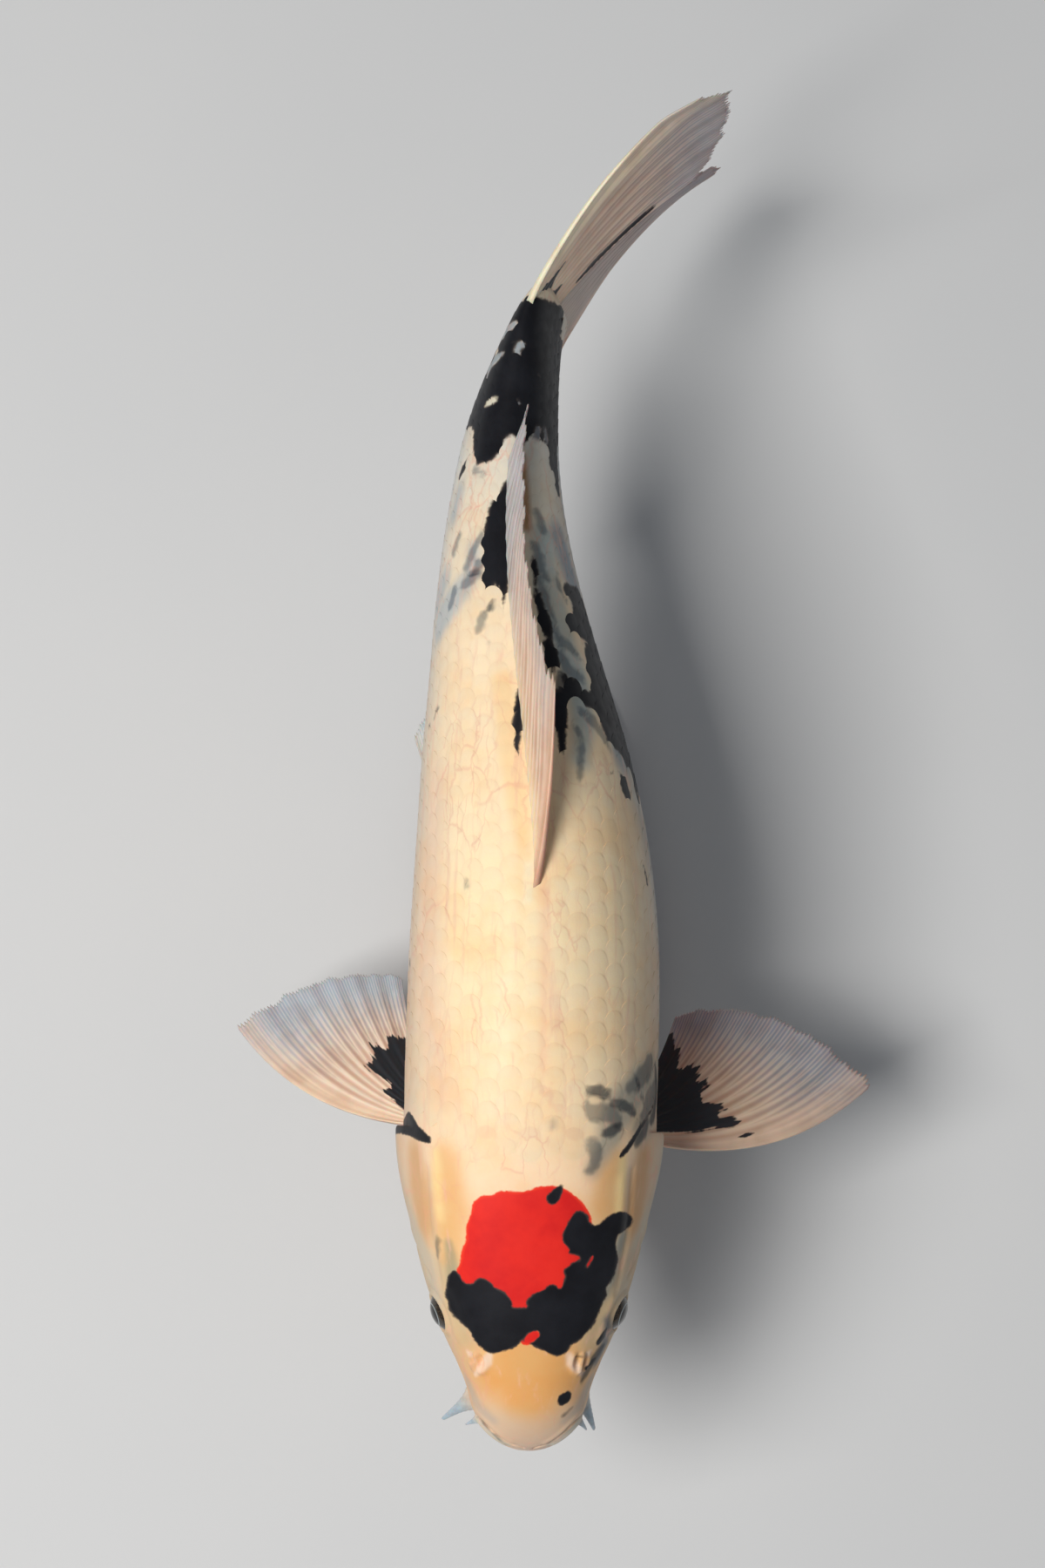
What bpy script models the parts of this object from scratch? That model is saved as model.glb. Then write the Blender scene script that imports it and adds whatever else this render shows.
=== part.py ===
"""A life-size koi carp, swimming with its tail swept to its left, held over a small oval plinth.

The fish is laid out in body coordinates: a distance along the spine from the snout, a distance across
(positive towards the fish's left) and a height over the spine. The spine is level and bends sideways.
The head points to -Y, the fish's left side to +X, and the origin is under the middle of the plinth.
All lengths are in metres.
"""

import math
from dataclasses import dataclass

import bmesh
import bpy
import numpy as np

# Driving dimensions
SPINE_HEIGHT = 0.135  # of the spine over the floor
SNOUT_X, SNOUT_Y = -0.0010, -0.1925
BODY_LENGTH = 0.457  # snout to the thin edge that carries the tail fin
SPINE_LENGTH = 0.620  # the spine's line runs on through the tail fin
NOSE_LENGTH = 0.020  # the rounded tip of the snout
GAP = 0.0003  # between neighbouring pieces

# The sideways bend: each turn is (degrees towards the fish's left, from, to) along the spine.
TURNS = ((1.6, 0.090, 0.125), (-7.6, 0.160, 0.282), (41.8, 0.291, 0.582), (15.0, 0.435, 0.460))

# Body sections: along, half width, top, bottom, squareness of the outline (2 is an ellipse)
STATIONS = (
    (0.000, 0.0212, 0.0170, 0.0150, 2.10),  # snout
    (0.022, 0.0235, 0.0262, 0.0225, 2.25),  # corner of the mouth
    (0.048, 0.0345, 0.0370, 0.0315, 2.40),  # eye
    (0.075, 0.0430, 0.0468, 0.0400, 2.45),  # cheek
    (0.105, 0.0482, 0.0568, 0.0480, 2.30),  # nape
    (0.155, 0.0495, 0.0672, 0.0555, 2.15),  # shoulder
    (0.205, 0.0484, 0.0695, 0.0580, 2.10),  # front of the dorsal fin
    (0.260, 0.0423, 0.0640, 0.0555, 2.10),  # pelvic fins
    (0.315, 0.0322, 0.0530, 0.0468, 2.10),  # vent
    (0.365, 0.0237, 0.0408, 0.0352, 2.10),  # anal fin
    (0.410, 0.0168, 0.0318, 0.0272, 2.10),  # tail stalk
    (0.442, 0.0090, 0.0285, 0.0255, 2.10),  # thinnest stalk
    (0.457, 0.0046, 0.0265, 0.0240, 2.00),  # edge under the tail fin
)

# The tail stalk rolls, its top towards the fish's right: (degrees, from, to)
ROLL = (13.0, 0.385, 0.455)
ROLL_LINE = 0.0095  # height over the spine of the line that it rolls about

# The gill opening is the joint between head and trunk. It is furthest back at the side of the body.
GILL_JOINT = 0.110
GILL_TOP, GILL_SIDE, GILL_BOTTOM = 0.098, 0.122, 0.086
GILL_BLEND_HEAD, GILL_BLEND_TRUNK = 0.058, 0.172
GILL_FRONT = 0.074
GILL_UPPER, GILL_LOWER = 47.0, 134.0  # degrees round from the back
GILL_THICKNESS = 0.0035
GILL_RISE = 0.0030  # of the gill cover over the trunk behind it

# Lengths of body between thin cuts
TRUNK_JOINT = 0.225
STALK_JOINT = 0.345
AROUND = 32  # faces round a section

EYE_RADIUS = 0.0105
EYE_ALONG, EYE_ANGLE, EYE_DEPTH = 0.0520, 69.0, 0.0082

MOUTH_LINE_HEIGHT, MOUTH_CORNER_HEIGHT = -0.0040, -0.0125
MOUTH_CORNER = 0.023
JAW_BACK = 0.043

PLINTH_LENGTH, PLINTH_WIDTH, PLINTH_HEIGHT = 0.290, 0.100, 0.014
ROD_RADIUS = 0.0040
ROD_PLACES = (("front", 0.150), ("rear", 0.285))
FOOT_RADIUS, FOOT_HEIGHT = 0.0105, 0.0035
SADDLE_RADIUS, SADDLE_HEIGHT = 0.0120, 0.0080

SKIN = (0.86, 0.76, 0.62)
WARM_SKIN = (0.85, 0.66, 0.40)
FIN = (0.85, 0.74, 0.66)
EYE = (0.02, 0.02, 0.025)
WOOD = (0.16, 0.08, 0.04)
STEEL = (0.62, 0.62, 0.63)
PAD = (0.06, 0.06, 0.065)


def smoothstep(low, high, x):
    """0 before low, 1 after high, and a smooth S between them."""
    t = min(1.0, max(0.0, (x - low) / (high - low)))
    return t * t * (3.0 - 2.0 * t)


def through_stations(column):
    """A smooth function of the distance along the spine through one column of the stations."""
    x = np.array([row[0] for row in STATIONS])
    y = np.array([row[column] for row in STATIONS])
    steps = np.diff(x)
    slopes = np.diff(y) / steps
    tangents = np.concatenate([[slopes[0]], (slopes[:-1] + slopes[1:]) / 2, [slopes[-1]]])
    flat = np.concatenate([[False], slopes[:-1] * slopes[1:] <= 0, [False]])
    tangents[flat] = 0.0

    def value(along):
        i = int(np.clip(np.searchsorted(x, along) - 1, 0, len(steps) - 1))
        h = steps[i]
        t = min(1.0, max(0.0, (along - x[i]) / h))
        rise = (3 * t**2 - 2 * t**3) * (y[i + 1] - y[i]) + y[i]
        return rise + h * ((t**3 - 2 * t**2 + t) * tangents[i] + (t**3 - t**2) * tangents[i + 1])

    return value


half_width, top, bottom, squareness = (through_stations(column) for column in (1, 2, 3, 4))


def spine_line(steps=1240):
    """Points of the bent spine and its heading at each, at equal distances."""
    along = np.linspace(0.0, SPINE_LENGTH, steps + 1)
    heading = sum(
        math.radians(turn) * np.array([smoothstep(start, end, s) for s in along])
        for turn, start, end in TURNS
    )
    step = SPINE_LENGTH / steps
    middle = (heading[1:] + heading[:-1]) / 2
    x = SNOUT_X + np.concatenate([[0.0], np.cumsum(np.sin(middle) * step)])
    y = SNOUT_Y + np.concatenate([[0.0], np.cumsum(np.cos(middle) * step)])
    return along, x, y, heading


SPINE = spine_line()


def at(along, across, up):
    """The point in the row frame of body coordinates."""
    s, x, y, heading = SPINE
    h = np.interp(along, s, heading)
    ahead = min(0.0, along)  # a point before the snout lies straight in front of it
    px = np.interp(along, s, x) + across * math.cos(h) + ahead * math.sin(h)
    py = np.interp(along, s, y) - across * math.sin(h) + ahead * math.cos(h)
    return (px, py, SPINE_HEIGHT + up)


def gill_line(angle):
    """How far along the gill opening is, at an angle in degrees round from the back."""
    round_ = abs(angle)
    if round_ < 90.0:
        return GILL_TOP + (GILL_SIDE - GILL_TOP) * smoothstep(18.0, 64.0, round_)
    return GILL_SIDE + (GILL_BOTTOM - GILL_SIDE) * smoothstep(108.0, 172.0, round_)


def bowed(along, angle):
    """Sections near the gill opening bow to follow it. along is where they would be if they were flat."""
    if along < GILL_JOINT:
        share = smoothstep(GILL_BLEND_HEAD, GILL_JOINT, along)
    else:
        share = 1.0 - smoothstep(GILL_JOINT, GILL_BLEND_TRUNK, along)
    return along + (gill_line(angle) - GILL_JOINT) * share


def radius(along, angle, grow=0.0):
    """Distance from the spine to the body's surface, at an angle in degrees round from the back."""
    a = math.radians(angle)
    height = top(along) if math.cos(a) > 0 else bottom(along)
    power = squareness(along)
    across = abs(math.sin(a)) / (half_width(along) + grow)
    upright = abs(math.cos(a)) / (height + grow)
    tip = 1.0 - min(1.0, max(0.0, along) / NOSE_LENGTH)
    return math.sqrt(max(0.0, 1.0 - tip * tip)) / (across**power + upright**power) ** (1.0 / power)


def rolled(along, angle, r):
    """A place on the section, at a distance from the spine, after the tail stalk's roll."""
    degrees, start, end = ROLL
    roll = math.radians(degrees) * smoothstep(start, end, along)
    a = math.radians(angle) - roll
    return at(along, r * math.sin(a) + ROLL_LINE * math.sin(roll), r * math.cos(a))


def surface(along, angle, grow=0.0):
    """A point on the body's surface, or outward of it."""
    return rolled(along, angle, radius(along, angle, grow))


def section_point(flat, angle, grow=0.0):
    """A point of a bowed section, which is a cone of straight lines from its middle."""
    along = bowed(flat, angle)
    inner, r = radius(along, angle), radius(along, angle, grow)
    share = r / inner if inner else 1.0
    return rolled(flat + (along - flat) * share, angle, r)


def gill_rise(along, angle):
    """How far the gill cover stands over the head, highest at its rear edge."""
    round_ = abs(angle)
    sides = smoothstep(GILL_UPPER + 6.0, GILL_UPPER + 34.0, round_)
    sides *= 1.0 - smoothstep(GILL_LOWER - 26.0, GILL_LOWER + 4.0, round_)
    return GILL_RISE * sides * smoothstep(GILL_FRONT, GILL_JOINT - 0.004, along)


# Building


def material(name, colour, roughness=0.5, metallic=0.0):
    """A plain Principled material."""
    made = bpy.data.materials.new(name)
    made.use_nodes = True
    shader = made.node_tree.nodes["Principled BSDF"]
    shader.inputs["Base Color"].default_value = (*colour, 1.0)
    shader.inputs["Roughness"].default_value = roughness
    shader.inputs["Metallic"].default_value = metallic
    return made


def node(name, bm, finish, collection):
    """An object from a bmesh, with its faces turned outwards."""
    bmesh.ops.remove_doubles(bm, verts=bm.verts, dist=1e-6)
    bmesh.ops.dissolve_degenerate(bm, edges=bm.edges, dist=1e-6)
    bmesh.ops.recalc_face_normals(bm, faces=bm.faces)
    mesh = bpy.data.meshes.new(name)
    bm.to_mesh(mesh)
    bm.free()
    mesh.shade_smooth()
    mesh.set_sharp_from_angle(angle=math.radians(40))
    obj = bpy.data.objects.new(name, mesh)
    if finish:
        mesh.materials.append(finish)
    collection.objects.link(obj)
    return obj


def cutter(name, bm, collection):
    """A helper for Booleans, which isn't part of the model."""
    obj = node(name, bm, None, collection)
    obj.hide_render = True
    obj.display_type = "WIRE"
    return obj


def boolean(obj, other, operation="DIFFERENCE"):
    """Adds an exact Boolean of obj with other."""
    modifier = obj.modifiers.new(other.name, "BOOLEAN")
    modifier.operation = operation
    modifier.object = other


def cylinder(segments, rings):
    """A capped unit cylinder with rings across it, from z = 0 to 1."""
    bm = bmesh.new()
    bmesh.ops.create_cone(
        bm, cap_ends=True, cap_tris=True, segments=segments, radius1=1.0, radius2=1.0, depth=1.0
    )
    sides = [e for e in bm.edges if abs(e.verts[0].co.z - e.verts[1].co.z) > 0.5]
    bmesh.ops.subdivide_edges(bm, edges=sides, cuts=rings - 1)
    bmesh.ops.translate(bm, verts=bm.verts, vec=(0.0, 0.0, 0.5))
    return bm


def split_quads(bm):
    """Splits twisted quads the same way every time, so that a piece and its clearance match."""
    bmesh.ops.triangulate(bm, faces=bm.faces, quad_method="FIXED")
    return bm


def body_length(start, end, rings, grow=0.0, crowd=1.0):
    """A closed length of body. crowd over 1 sets the rings closer together towards the snout."""
    bm = cylinder(AROUND, rings)
    for vert in bm.verts:
        flat = start + (end - start) * vert.co.z**crowd
        if math.hypot(vert.co.x, vert.co.y) < 1e-4:
            vert.co = at(flat, 0.0, 0.0)
            continue
        angle = math.degrees(math.atan2(vert.co.x, vert.co.y))
        vert.co = section_point(flat, angle, grow)
    return split_quads(bm)


def gill_cover(side, grow=0.0):
    """A curved plate over the gills, round in front. grow makes the cutter for its seat."""
    rows = 7
    bm = bmesh.new()
    bmesh.ops.create_grid(bm, x_segments=rows + 1, y_segments=8, size=1.0)
    middle = (GILL_UPPER + GILL_LOWER) / 2
    half = (GILL_LOWER - GILL_UPPER) / 2 + math.degrees(grow / half_width(GILL_JOINT))
    copies = bmesh.ops.duplicate(bm, geom=bm.verts[:] + bm.edges[:] + bm.faces[:])["geom"]
    lids = set(copies)
    for vert in bm.verts:
        row = round((vert.co.x + 1.0) / 2 * (rows + 1))
        forward = 1.0 - min(row, rows) / rows
        flat = GILL_JOINT - (GILL_JOINT - GILL_FRONT + grow) * forward + 0.006 * max(0, row - rows)
        angle = side * (middle + half * vert.co.y * math.sqrt(1.0 - (0.86 * forward) ** 2))
        lift = -GILL_THICKNESS - grow
        if vert in lids:
            lift = 0.004 if grow else gill_rise(flat, angle)
        vert.co = section_point(flat, angle, lift)
    rims = [e for e in bm.edges if e.is_boundary]
    bmesh.ops.bridge_loops(bm, edges=rims)
    return split_quads(bm)


def ball(centre, size, segments=16, rings=10):
    """A sphere."""
    bm = bmesh.new()
    bmesh.ops.create_uvsphere(bm, u_segments=segments, v_segments=rings, radius=size)
    bmesh.ops.translate(bm, verts=bm.verts, vec=centre)
    return bm


def jaw_block(grow=0.0):
    """The wedge of space below the line of the mouth, which holds the lower jaw."""
    bm = bmesh.new()
    bmesh.ops.create_cube(bm, size=1.0)
    slope = (MOUTH_CORNER_HEIGHT - MOUTH_LINE_HEIGHT) / MOUTH_CORNER
    front, deep, wide = -0.010, -0.060, 0.060
    for vert in bm.verts:
        along = front if vert.co.y < 0 else JAW_BACK + grow
        up = deep if vert.co.z < 0 else MOUTH_LINE_HEIGHT + slope * along + grow
        vert.co = at(along, wide * math.copysign(1.0, vert.co.x), up)
    return bm


# Fins. Each is a sheet of rays: share is the ray's place from first to last, out is from root to tip.


@dataclass(frozen=True)
class PairedFin:
    """A pectoral or pelvic fin, which fans out from a short root low on one side."""

    side: int  # 1 on the fish's left, -1 on its right
    root_along: float
    root_across: float
    root_up: float
    root_length: float  # along the body
    root_drop: float  # from the first ray to the last
    first_length: float
    last_length: float
    first_angle: float  # degrees back from straight out
    last_angle: float
    droop: float  # fall of the tip of the first ray
    twist: float  # further fall of the last ray's tip
    bow: float  # forward curve of the first ray, as a share of its length
    roundness: float  # extra length of the middle rays

    def point(self, share, out):
        """Body coordinates of a place on the sheet."""
        length = self.first_length + (self.last_length - self.first_length) * share
        length *= 1.0 + self.roundness * math.sin(math.pi * share)
        angle = math.radians(self.first_angle + (self.last_angle - self.first_angle) * share)
        curve = self.bow * (1.0 - 0.75 * share) * out * (1.0 - out)
        away = length * (out * math.cos(angle) + curve * math.sin(angle))
        back = length * (out * math.sin(angle) - curve * math.cos(angle))
        fall = (self.droop + self.twist * share) * out**1.3
        return (
            self.root_along + self.root_length * share + back,
            self.side * (self.root_across + away),
            self.root_up - self.root_drop * share - fall,
        )


@dataclass(frozen=True)
class MedianFin:
    """The dorsal or anal fin, on the middle line of the back or belly, swept towards the tail."""

    upward: int  # 1 on the back, -1 under the belly
    root_start: float
    root_end: float
    first_sweep: float  # how far back the first ray's tip lies
    last_sweep: float
    first_height: float  # of the first ray's tip off the body
    last_height: float
    lean: float  # of the tips towards the fish's left, as a share of their height
    root_across: float  # how far off the middle line the root bows
    notch: float  # how much lower the fin is behind its first ray, as a share of its height
    sink: float = 0.0025

    def point(self, share, out):
        """Body coordinates of a place on the sheet."""
        root = self.root_start + (self.root_end - self.root_start) * share
        along = root + out * (self.first_sweep + (self.last_sweep - self.first_sweep) * share)
        height = self.first_height + (self.last_height - self.first_height) * share
        height *= 1.0 - self.notch * smoothstep(0.0, 0.08, share) - 0.10 * math.sin(math.pi * share)
        lift = height * out**0.85
        across = self.root_across * math.sin(math.pi * share) + self.lean * lift
        skin = top(along) if self.upward > 0 else bottom(along)
        return (along, across, self.upward * (skin - self.sink + lift))


@dataclass(frozen=True)
class TailLobe:
    """Half of the tail fin, from its outer edge (share 0) to the fork (share 1)."""

    upward: int
    root_lean: float  # of the outer edge towards the fish's right, at the root
    tip_lean: float  # and near the tip
    curl: float  # how much of that lean the tip itself loses
    outer_length: float
    fullness: float  # how soon the lobe shortens towards the fork: less is fuller
    rounding: float  # of the outer corner of its tip
    root_along: float = 0.446
    root_height: float = 0.0270
    root_across: float = 0.0022
    fork_length: float = 0.0808
    outer_angle: float = 34.0  # degrees from the spine's line
    fork_angle: float = 1.2
    sweep: float = 0.086  # of the whole lobe towards the fish's left, as a share of the distance back

    def point(self, share, out):
        """Body coordinates of a place on the sheet."""
        outer = 1.0 - share
        length = self.fork_length + (self.outer_length - self.fork_length) * outer**self.fullness
        length *= 1.0 - self.rounding * (1.0 - smoothstep(0.0, 0.25, share))
        angle = math.radians(self.fork_angle + (self.outer_angle - self.fork_angle) * outer**1.15)
        angle *= 1.0 - 0.35 * out
        back = length * out * math.cos(angle)
        up = 0.0003 + (self.root_height - 0.0003) * outer + length * out * math.sin(angle)
        lean = self.root_lean + (self.tip_lean - self.root_lean) * smoothstep(-0.15, 0.95, out)
        lean *= outer * (1.0 - self.curl * smoothstep(0.80, 1.0, out))
        return (self.root_along + back, self.root_across + self.sweep * back - lean, self.upward * up)


PECTORAL_RIGHT = PairedFin(
    side=-1, root_along=0.1235, root_across=0.0380, root_up=-0.0270, root_length=0.007, root_drop=0.011,
    first_length=0.0942, last_length=0.0582, first_angle=26.0, last_angle=74.0,
    droop=0.047, twist=-0.022, bow=0.50, roundness=0.0,
)
PECTORAL_LEFT = PairedFin(
    side=1, root_along=0.1215, root_across=0.0380, root_up=-0.0270, root_length=0.007, root_drop=0.011,
    first_length=0.1038, last_length=0.0474, first_angle=14.0, last_angle=65.0,
    droop=0.022, twist=-0.010, bow=0.58, roundness=0.0,
)
PELVIC_RIGHT = PairedFin(
    side=-1, root_along=0.2200, root_across=0.0140, root_up=-0.0470, root_length=0.008, root_drop=0.0035,
    first_length=0.0772, last_length=0.0430, first_angle=67.5, last_angle=100.0,
    droop=0.014, twist=0.004, bow=0.22, roundness=0.30,
)
PELVIC_LEFT = PairedFin(
    side=1, root_along=0.2200, root_across=0.0140, root_up=-0.0470, root_length=0.008, root_drop=0.0035,
    first_length=0.0700, last_length=0.0420, first_angle=70.0, last_angle=100.0,
    droop=0.019, twist=0.004, bow=0.22, roundness=0.05,
)
DORSAL = MedianFin(
    upward=1, root_start=0.2065, root_end=0.3770, first_sweep=0.076, last_sweep=0.026,
    first_height=0.0315, last_height=0.0165, lean=0.45, root_across=-0.0008, notch=0.18,
)
ANAL = MedianFin(
    upward=-1, root_start=0.3450, root_end=0.3760, first_sweep=0.036, last_sweep=0.024,
    first_height=0.0460, last_height=0.0190, lean=0.10, root_across=0.0, notch=0.0,
)
TAIL_UPPER = TailLobe(
    upward=1, root_lean=0.0052, tip_lean=0.0130, curl=0.24,
    outer_length=0.1185, fullness=0.33, rounding=0.115,
)
TAIL_LOWER = TailLobe(
    upward=-1, root_lean=-0.0082, tip_lean=0.0142, curl=0.0,
    outer_length=0.1260, fullness=0.57, rounding=0.0,
)

# name, fin, rays across the sheet, steps out along them, thickness, what it meets
FINS = (
    ("pectoral_fin_right", PECTORAL_RIGHT, 12, 6, 0.0014, ("head", "front", "gill_right")),
    ("pectoral_fin_left", PECTORAL_LEFT, 12, 6, 0.0014, ("head", "front", "gill_left")),
    ("pelvic_fin_right", PELVIC_RIGHT, 9, 5, 0.0014, ("front", "rear")),
    ("pelvic_fin_left", PELVIC_LEFT, 9, 5, 0.0014, ("front", "rear")),
    ("dorsal_fin", DORSAL, 17, 4, 0.0014, ("front", "rear", "stalk")),
    ("anal_fin", ANAL, 7, 5, 0.0014, ("rear", "stalk")),
    ("tail_fin_upper", TAIL_UPPER, 10, 7, 0.0014, ("stalk",)),
    ("tail_fin_lower", TAIL_LOWER, 10, 7, 0.0014, ("stalk",)),
)


def fin_sheet(fin, rays, steps):
    """The fin as an open sheet of rays."""
    bm = bmesh.new()
    bmesh.ops.create_grid(bm, x_segments=rays, y_segments=steps, size=1.0)
    for vert in bm.verts:
        share, out = (vert.co.x + 1.0) / 2, (vert.co.y + 1.0) / 2
        vert.co = at(*fin.point(share, out))
    return bm


@dataclass(frozen=True)
class Barbel:
    """A soft feeler beside the mouth, thickest at its root, which droops to a fine tip."""

    side: int
    along: float
    angle: float  # round from the back
    length: float
    thick: float  # radius at the root
    out: float  # which way the tip goes: sideways, towards the snout and down
    forward: float
    down: float

    def solid(self):
        """The feeler as a closed tube."""
        bm = cylinder(8, 7)
        a = math.radians(self.angle)
        r = radius(self.along, self.angle) - self.thick
        stretch = self.length / math.sqrt(self.out**2 + self.forward**2 + self.down**2)
        for vert in bm.verts:
            t = vert.co.z
            thickness = self.thick * (1.0 - 0.78 * t)
            place = (
                self.along - stretch * self.forward * t**1.2 + 0.85 * thickness * vert.co.x,
                self.side * (r * math.sin(a) + stretch * self.out * t + 0.9 * thickness * vert.co.x),
                r * math.cos(a) - stretch * self.down * t**1.3 + thickness * vert.co.y,
            )
            vert.co = at(*place)
        return bm


BARBELS = {
    "barbel_lip_right": Barbel(-1, 0.0115, 92.0, 0.0090, 0.0013, 0.0050, 0.0020, 0.0055),
    "barbel_lip_left": Barbel(1, 0.0115, 92.0, 0.0090, 0.0013, 0.0030, 0.0035, 0.0055),
    "barbel_corner_right": Barbel(-1, 0.0192, 102.0, 0.0190, 0.0027, 0.0115, 0.0070, 0.0085),
    "barbel_corner_left": Barbel(1, 0.0197, 102.0, 0.0175, 0.0027, 0.0045, 0.0105, 0.0085),
}


def disc(centre_x, centre_y, low, high, size, segments=28):
    """An upright cylinder between two heights."""
    bm = cylinder(segments, 1)
    for vert in bm.verts:
        vert.co = (centre_x + size * vert.co.x, centre_y + size * vert.co.y, low + (high - low) * vert.co.z)
    return bm


# Sub-assemblies


def body_clearances(cutters):
    """The lengths of body again, a gap larger, to cut back whatever meets them."""
    lengths = {
        "head": body_length(-GAP, GILL_JOINT, 12, GAP, 1.4),
        "front": body_length(GILL_JOINT - 0.001, TRUNK_JOINT, 7, GAP),
        "rear": body_length(TRUNK_JOINT - 0.001, STALK_JOINT + 0.001, 8, GAP),
        "stalk": body_length(STALK_JOINT + GAP, BODY_LENGTH + GAP, 8, GAP),
        "gill_left": gill_cover(1, GAP),
        "gill_right": gill_cover(-1, GAP),
    }
    return {name: cutter(f"{name}_clearance", bm, cutters) for name, bm in lengths.items()}


def build_body(parts, cutters, skin, warm, eye_finish):
    """Head with its jaw, gill covers and eyes, and the lengths of trunk and stalk behind it."""
    head = node("head", body_length(0.0, GILL_JOINT, 12, crowd=1.4), warm, parts)
    jaw = node("lower_jaw", body_length(0.0, GILL_JOINT, 12, crowd=1.4), warm, parts)
    boolean(jaw, cutter("jaw_space", jaw_block(), cutters), "INTERSECT")
    boolean(head, cutter("jaw_seat", jaw_block(GAP), cutters))
    behind = cutter("gill_opening", body_length(GILL_JOINT, GILL_JOINT + 0.02, 2, grow=0.008), cutters)
    for side, name in ((1, "left"), (-1, "right")):
        boolean(node(f"gill_cover_{name}", gill_cover(side), warm, parts), behind)
        boolean(head, cutter(f"gill_seat_{name}", gill_cover(side, GAP), cutters))
        centre = surface(EYE_ALONG, side * EYE_ANGLE, -EYE_DEPTH)
        node(f"eye_{name}", ball(centre, EYE_RADIUS), eye_finish, parts)
        boolean(head, cutter(f"eye_socket_{name}", ball(centre, EYE_RADIUS + GAP), cutters))
    node("trunk_front", body_length(GILL_JOINT + GAP, TRUNK_JOINT, 7), skin, parts)
    node("trunk_rear", body_length(TRUNK_JOINT + GAP, STALK_JOINT, 8), skin, parts)
    node("tail_stalk", body_length(STALK_JOINT + GAP, BODY_LENGTH, 8), skin, parts)


def build_fins(parts, finish, clearances):
    """The eight fins, each cut back to meet the body."""
    for name, fin, rays, steps, thickness, meets in FINS:
        sheet = node(name, fin_sheet(fin, rays, steps), finish, parts)
        solidify = sheet.modifiers.new("thickness", "SOLIDIFY")
        solidify.thickness = thickness
        solidify.offset = 0.0
        split = sheet.modifiers.new("split_quads", "TRIANGULATE")
        split.quad_method = "FIXED"
        for part in meets:
            boolean(sheet, clearances[part])


def build_barbels(parts, finish, clearances):
    """Two feelers on each side of the mouth."""
    for name, feeler in BARBELS.items():
        boolean(node(name, feeler.solid(), finish, parts), clearances["head"])


def build_stand(parts, clearances):
    """An oval plinth with two rods, each with a foot and a saddle under the belly."""
    wood = material("walnut", WOOD, 0.42)
    steel = material("brushed_steel", STEEL, 0.32, 1.0)
    pad = material("saddle_pad", PAD, 0.8)
    bm = cylinder(48, 1)
    for vert in bm.verts:
        vert.co = (
            vert.co.x * PLINTH_WIDTH / 2,
            vert.co.y * PLINTH_LENGTH / 2,
            vert.co.z * PLINTH_HEIGHT,
        )
    plinth = node("stand_base", bm, wood, parts)
    bevel = plinth.modifiers.new("rounded_edge", "BEVEL")
    bevel.width = 0.003
    bevel.segments = 1
    for name, along in ROD_PLACES:
        x, y, _ = at(along, 0.0, 0.0)
        belly = SPINE_HEIGHT - bottom(along)
        foot_top = PLINTH_HEIGHT + GAP + FOOT_HEIGHT
        saddle_low = belly - SADDLE_HEIGHT / 2
        node(f"stand_foot_{name}", disc(x, y, PLINTH_HEIGHT + GAP, foot_top, FOOT_RADIUS), steel, parts)
        node(f"stand_rod_{name}", disc(x, y, foot_top + GAP, saddle_low - GAP, ROD_RADIUS, 20), steel, parts)
        block = disc(x, y, saddle_low, saddle_low + SADDLE_HEIGHT, SADDLE_RADIUS)
        saddle = node(f"stand_saddle_{name}", block, pad, parts)
        boolean(saddle, clearances["front" if along < TRUNK_JOINT else "rear"])


def main():
    """Clears the scene and builds the fish and its stand."""
    for obj in list(bpy.data.objects):
        bpy.data.objects.remove(obj)
    parts = bpy.data.collections.new("koi_carp")
    cutters = bpy.data.collections.new("cutters")
    for collection in (parts, cutters):
        bpy.context.scene.collection.children.link(collection)
    skin = material("white_skin", SKIN, 0.3)
    warm = material("head_skin", WARM_SKIN, 0.3)
    fin_finish = material("fin_membrane", FIN, 0.35)
    eye_finish = material("eye", EYE, 0.05)
    build_body(parts, cutters, skin, warm, eye_finish)
    clear = body_clearances(cutters)
    build_fins(parts, fin_finish, clear)
    build_barbels(parts, warm, clear)
    build_stand(parts, clear)


main()
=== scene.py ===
"""Finish for a life-size koi carp, swimming with its tail swept to its left, over a small oval plinth.

The fish is laid out in body coordinates, as its solids are: a distance along the bent spine from the
snout, a distance across (positive towards the fish's left) and a height over the spine. A place on the
skin is a distance along and an angle round from the back. Markings and folds are given in millimetres
and degrees of those coordinates, everything else in metres.
"""

from __future__ import annotations

import logging
import math
from dataclasses import dataclass
from enum import Enum
from functools import cached_property

import bmesh
import bpy
import numpy as np
from bmesh.types import BMesh, BMVert
from bpy.types import Material, Mesh, Node, NodeSocket, NodeTree, Object
from mathutils import Matrix, Vector


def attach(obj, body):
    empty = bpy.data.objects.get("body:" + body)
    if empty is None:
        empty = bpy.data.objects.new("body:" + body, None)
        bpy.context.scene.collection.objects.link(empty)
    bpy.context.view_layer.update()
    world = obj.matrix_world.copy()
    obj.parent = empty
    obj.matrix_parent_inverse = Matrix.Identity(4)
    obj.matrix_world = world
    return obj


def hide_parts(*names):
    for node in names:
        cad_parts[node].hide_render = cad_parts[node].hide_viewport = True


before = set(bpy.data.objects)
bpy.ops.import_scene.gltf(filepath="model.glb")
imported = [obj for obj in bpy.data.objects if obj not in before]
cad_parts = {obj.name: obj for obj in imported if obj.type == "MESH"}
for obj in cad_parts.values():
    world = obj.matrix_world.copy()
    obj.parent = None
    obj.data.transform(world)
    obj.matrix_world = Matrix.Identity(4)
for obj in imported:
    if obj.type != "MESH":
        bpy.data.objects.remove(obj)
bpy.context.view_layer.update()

Array = np.ndarray
Colour = tuple[float, float, float]
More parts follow.
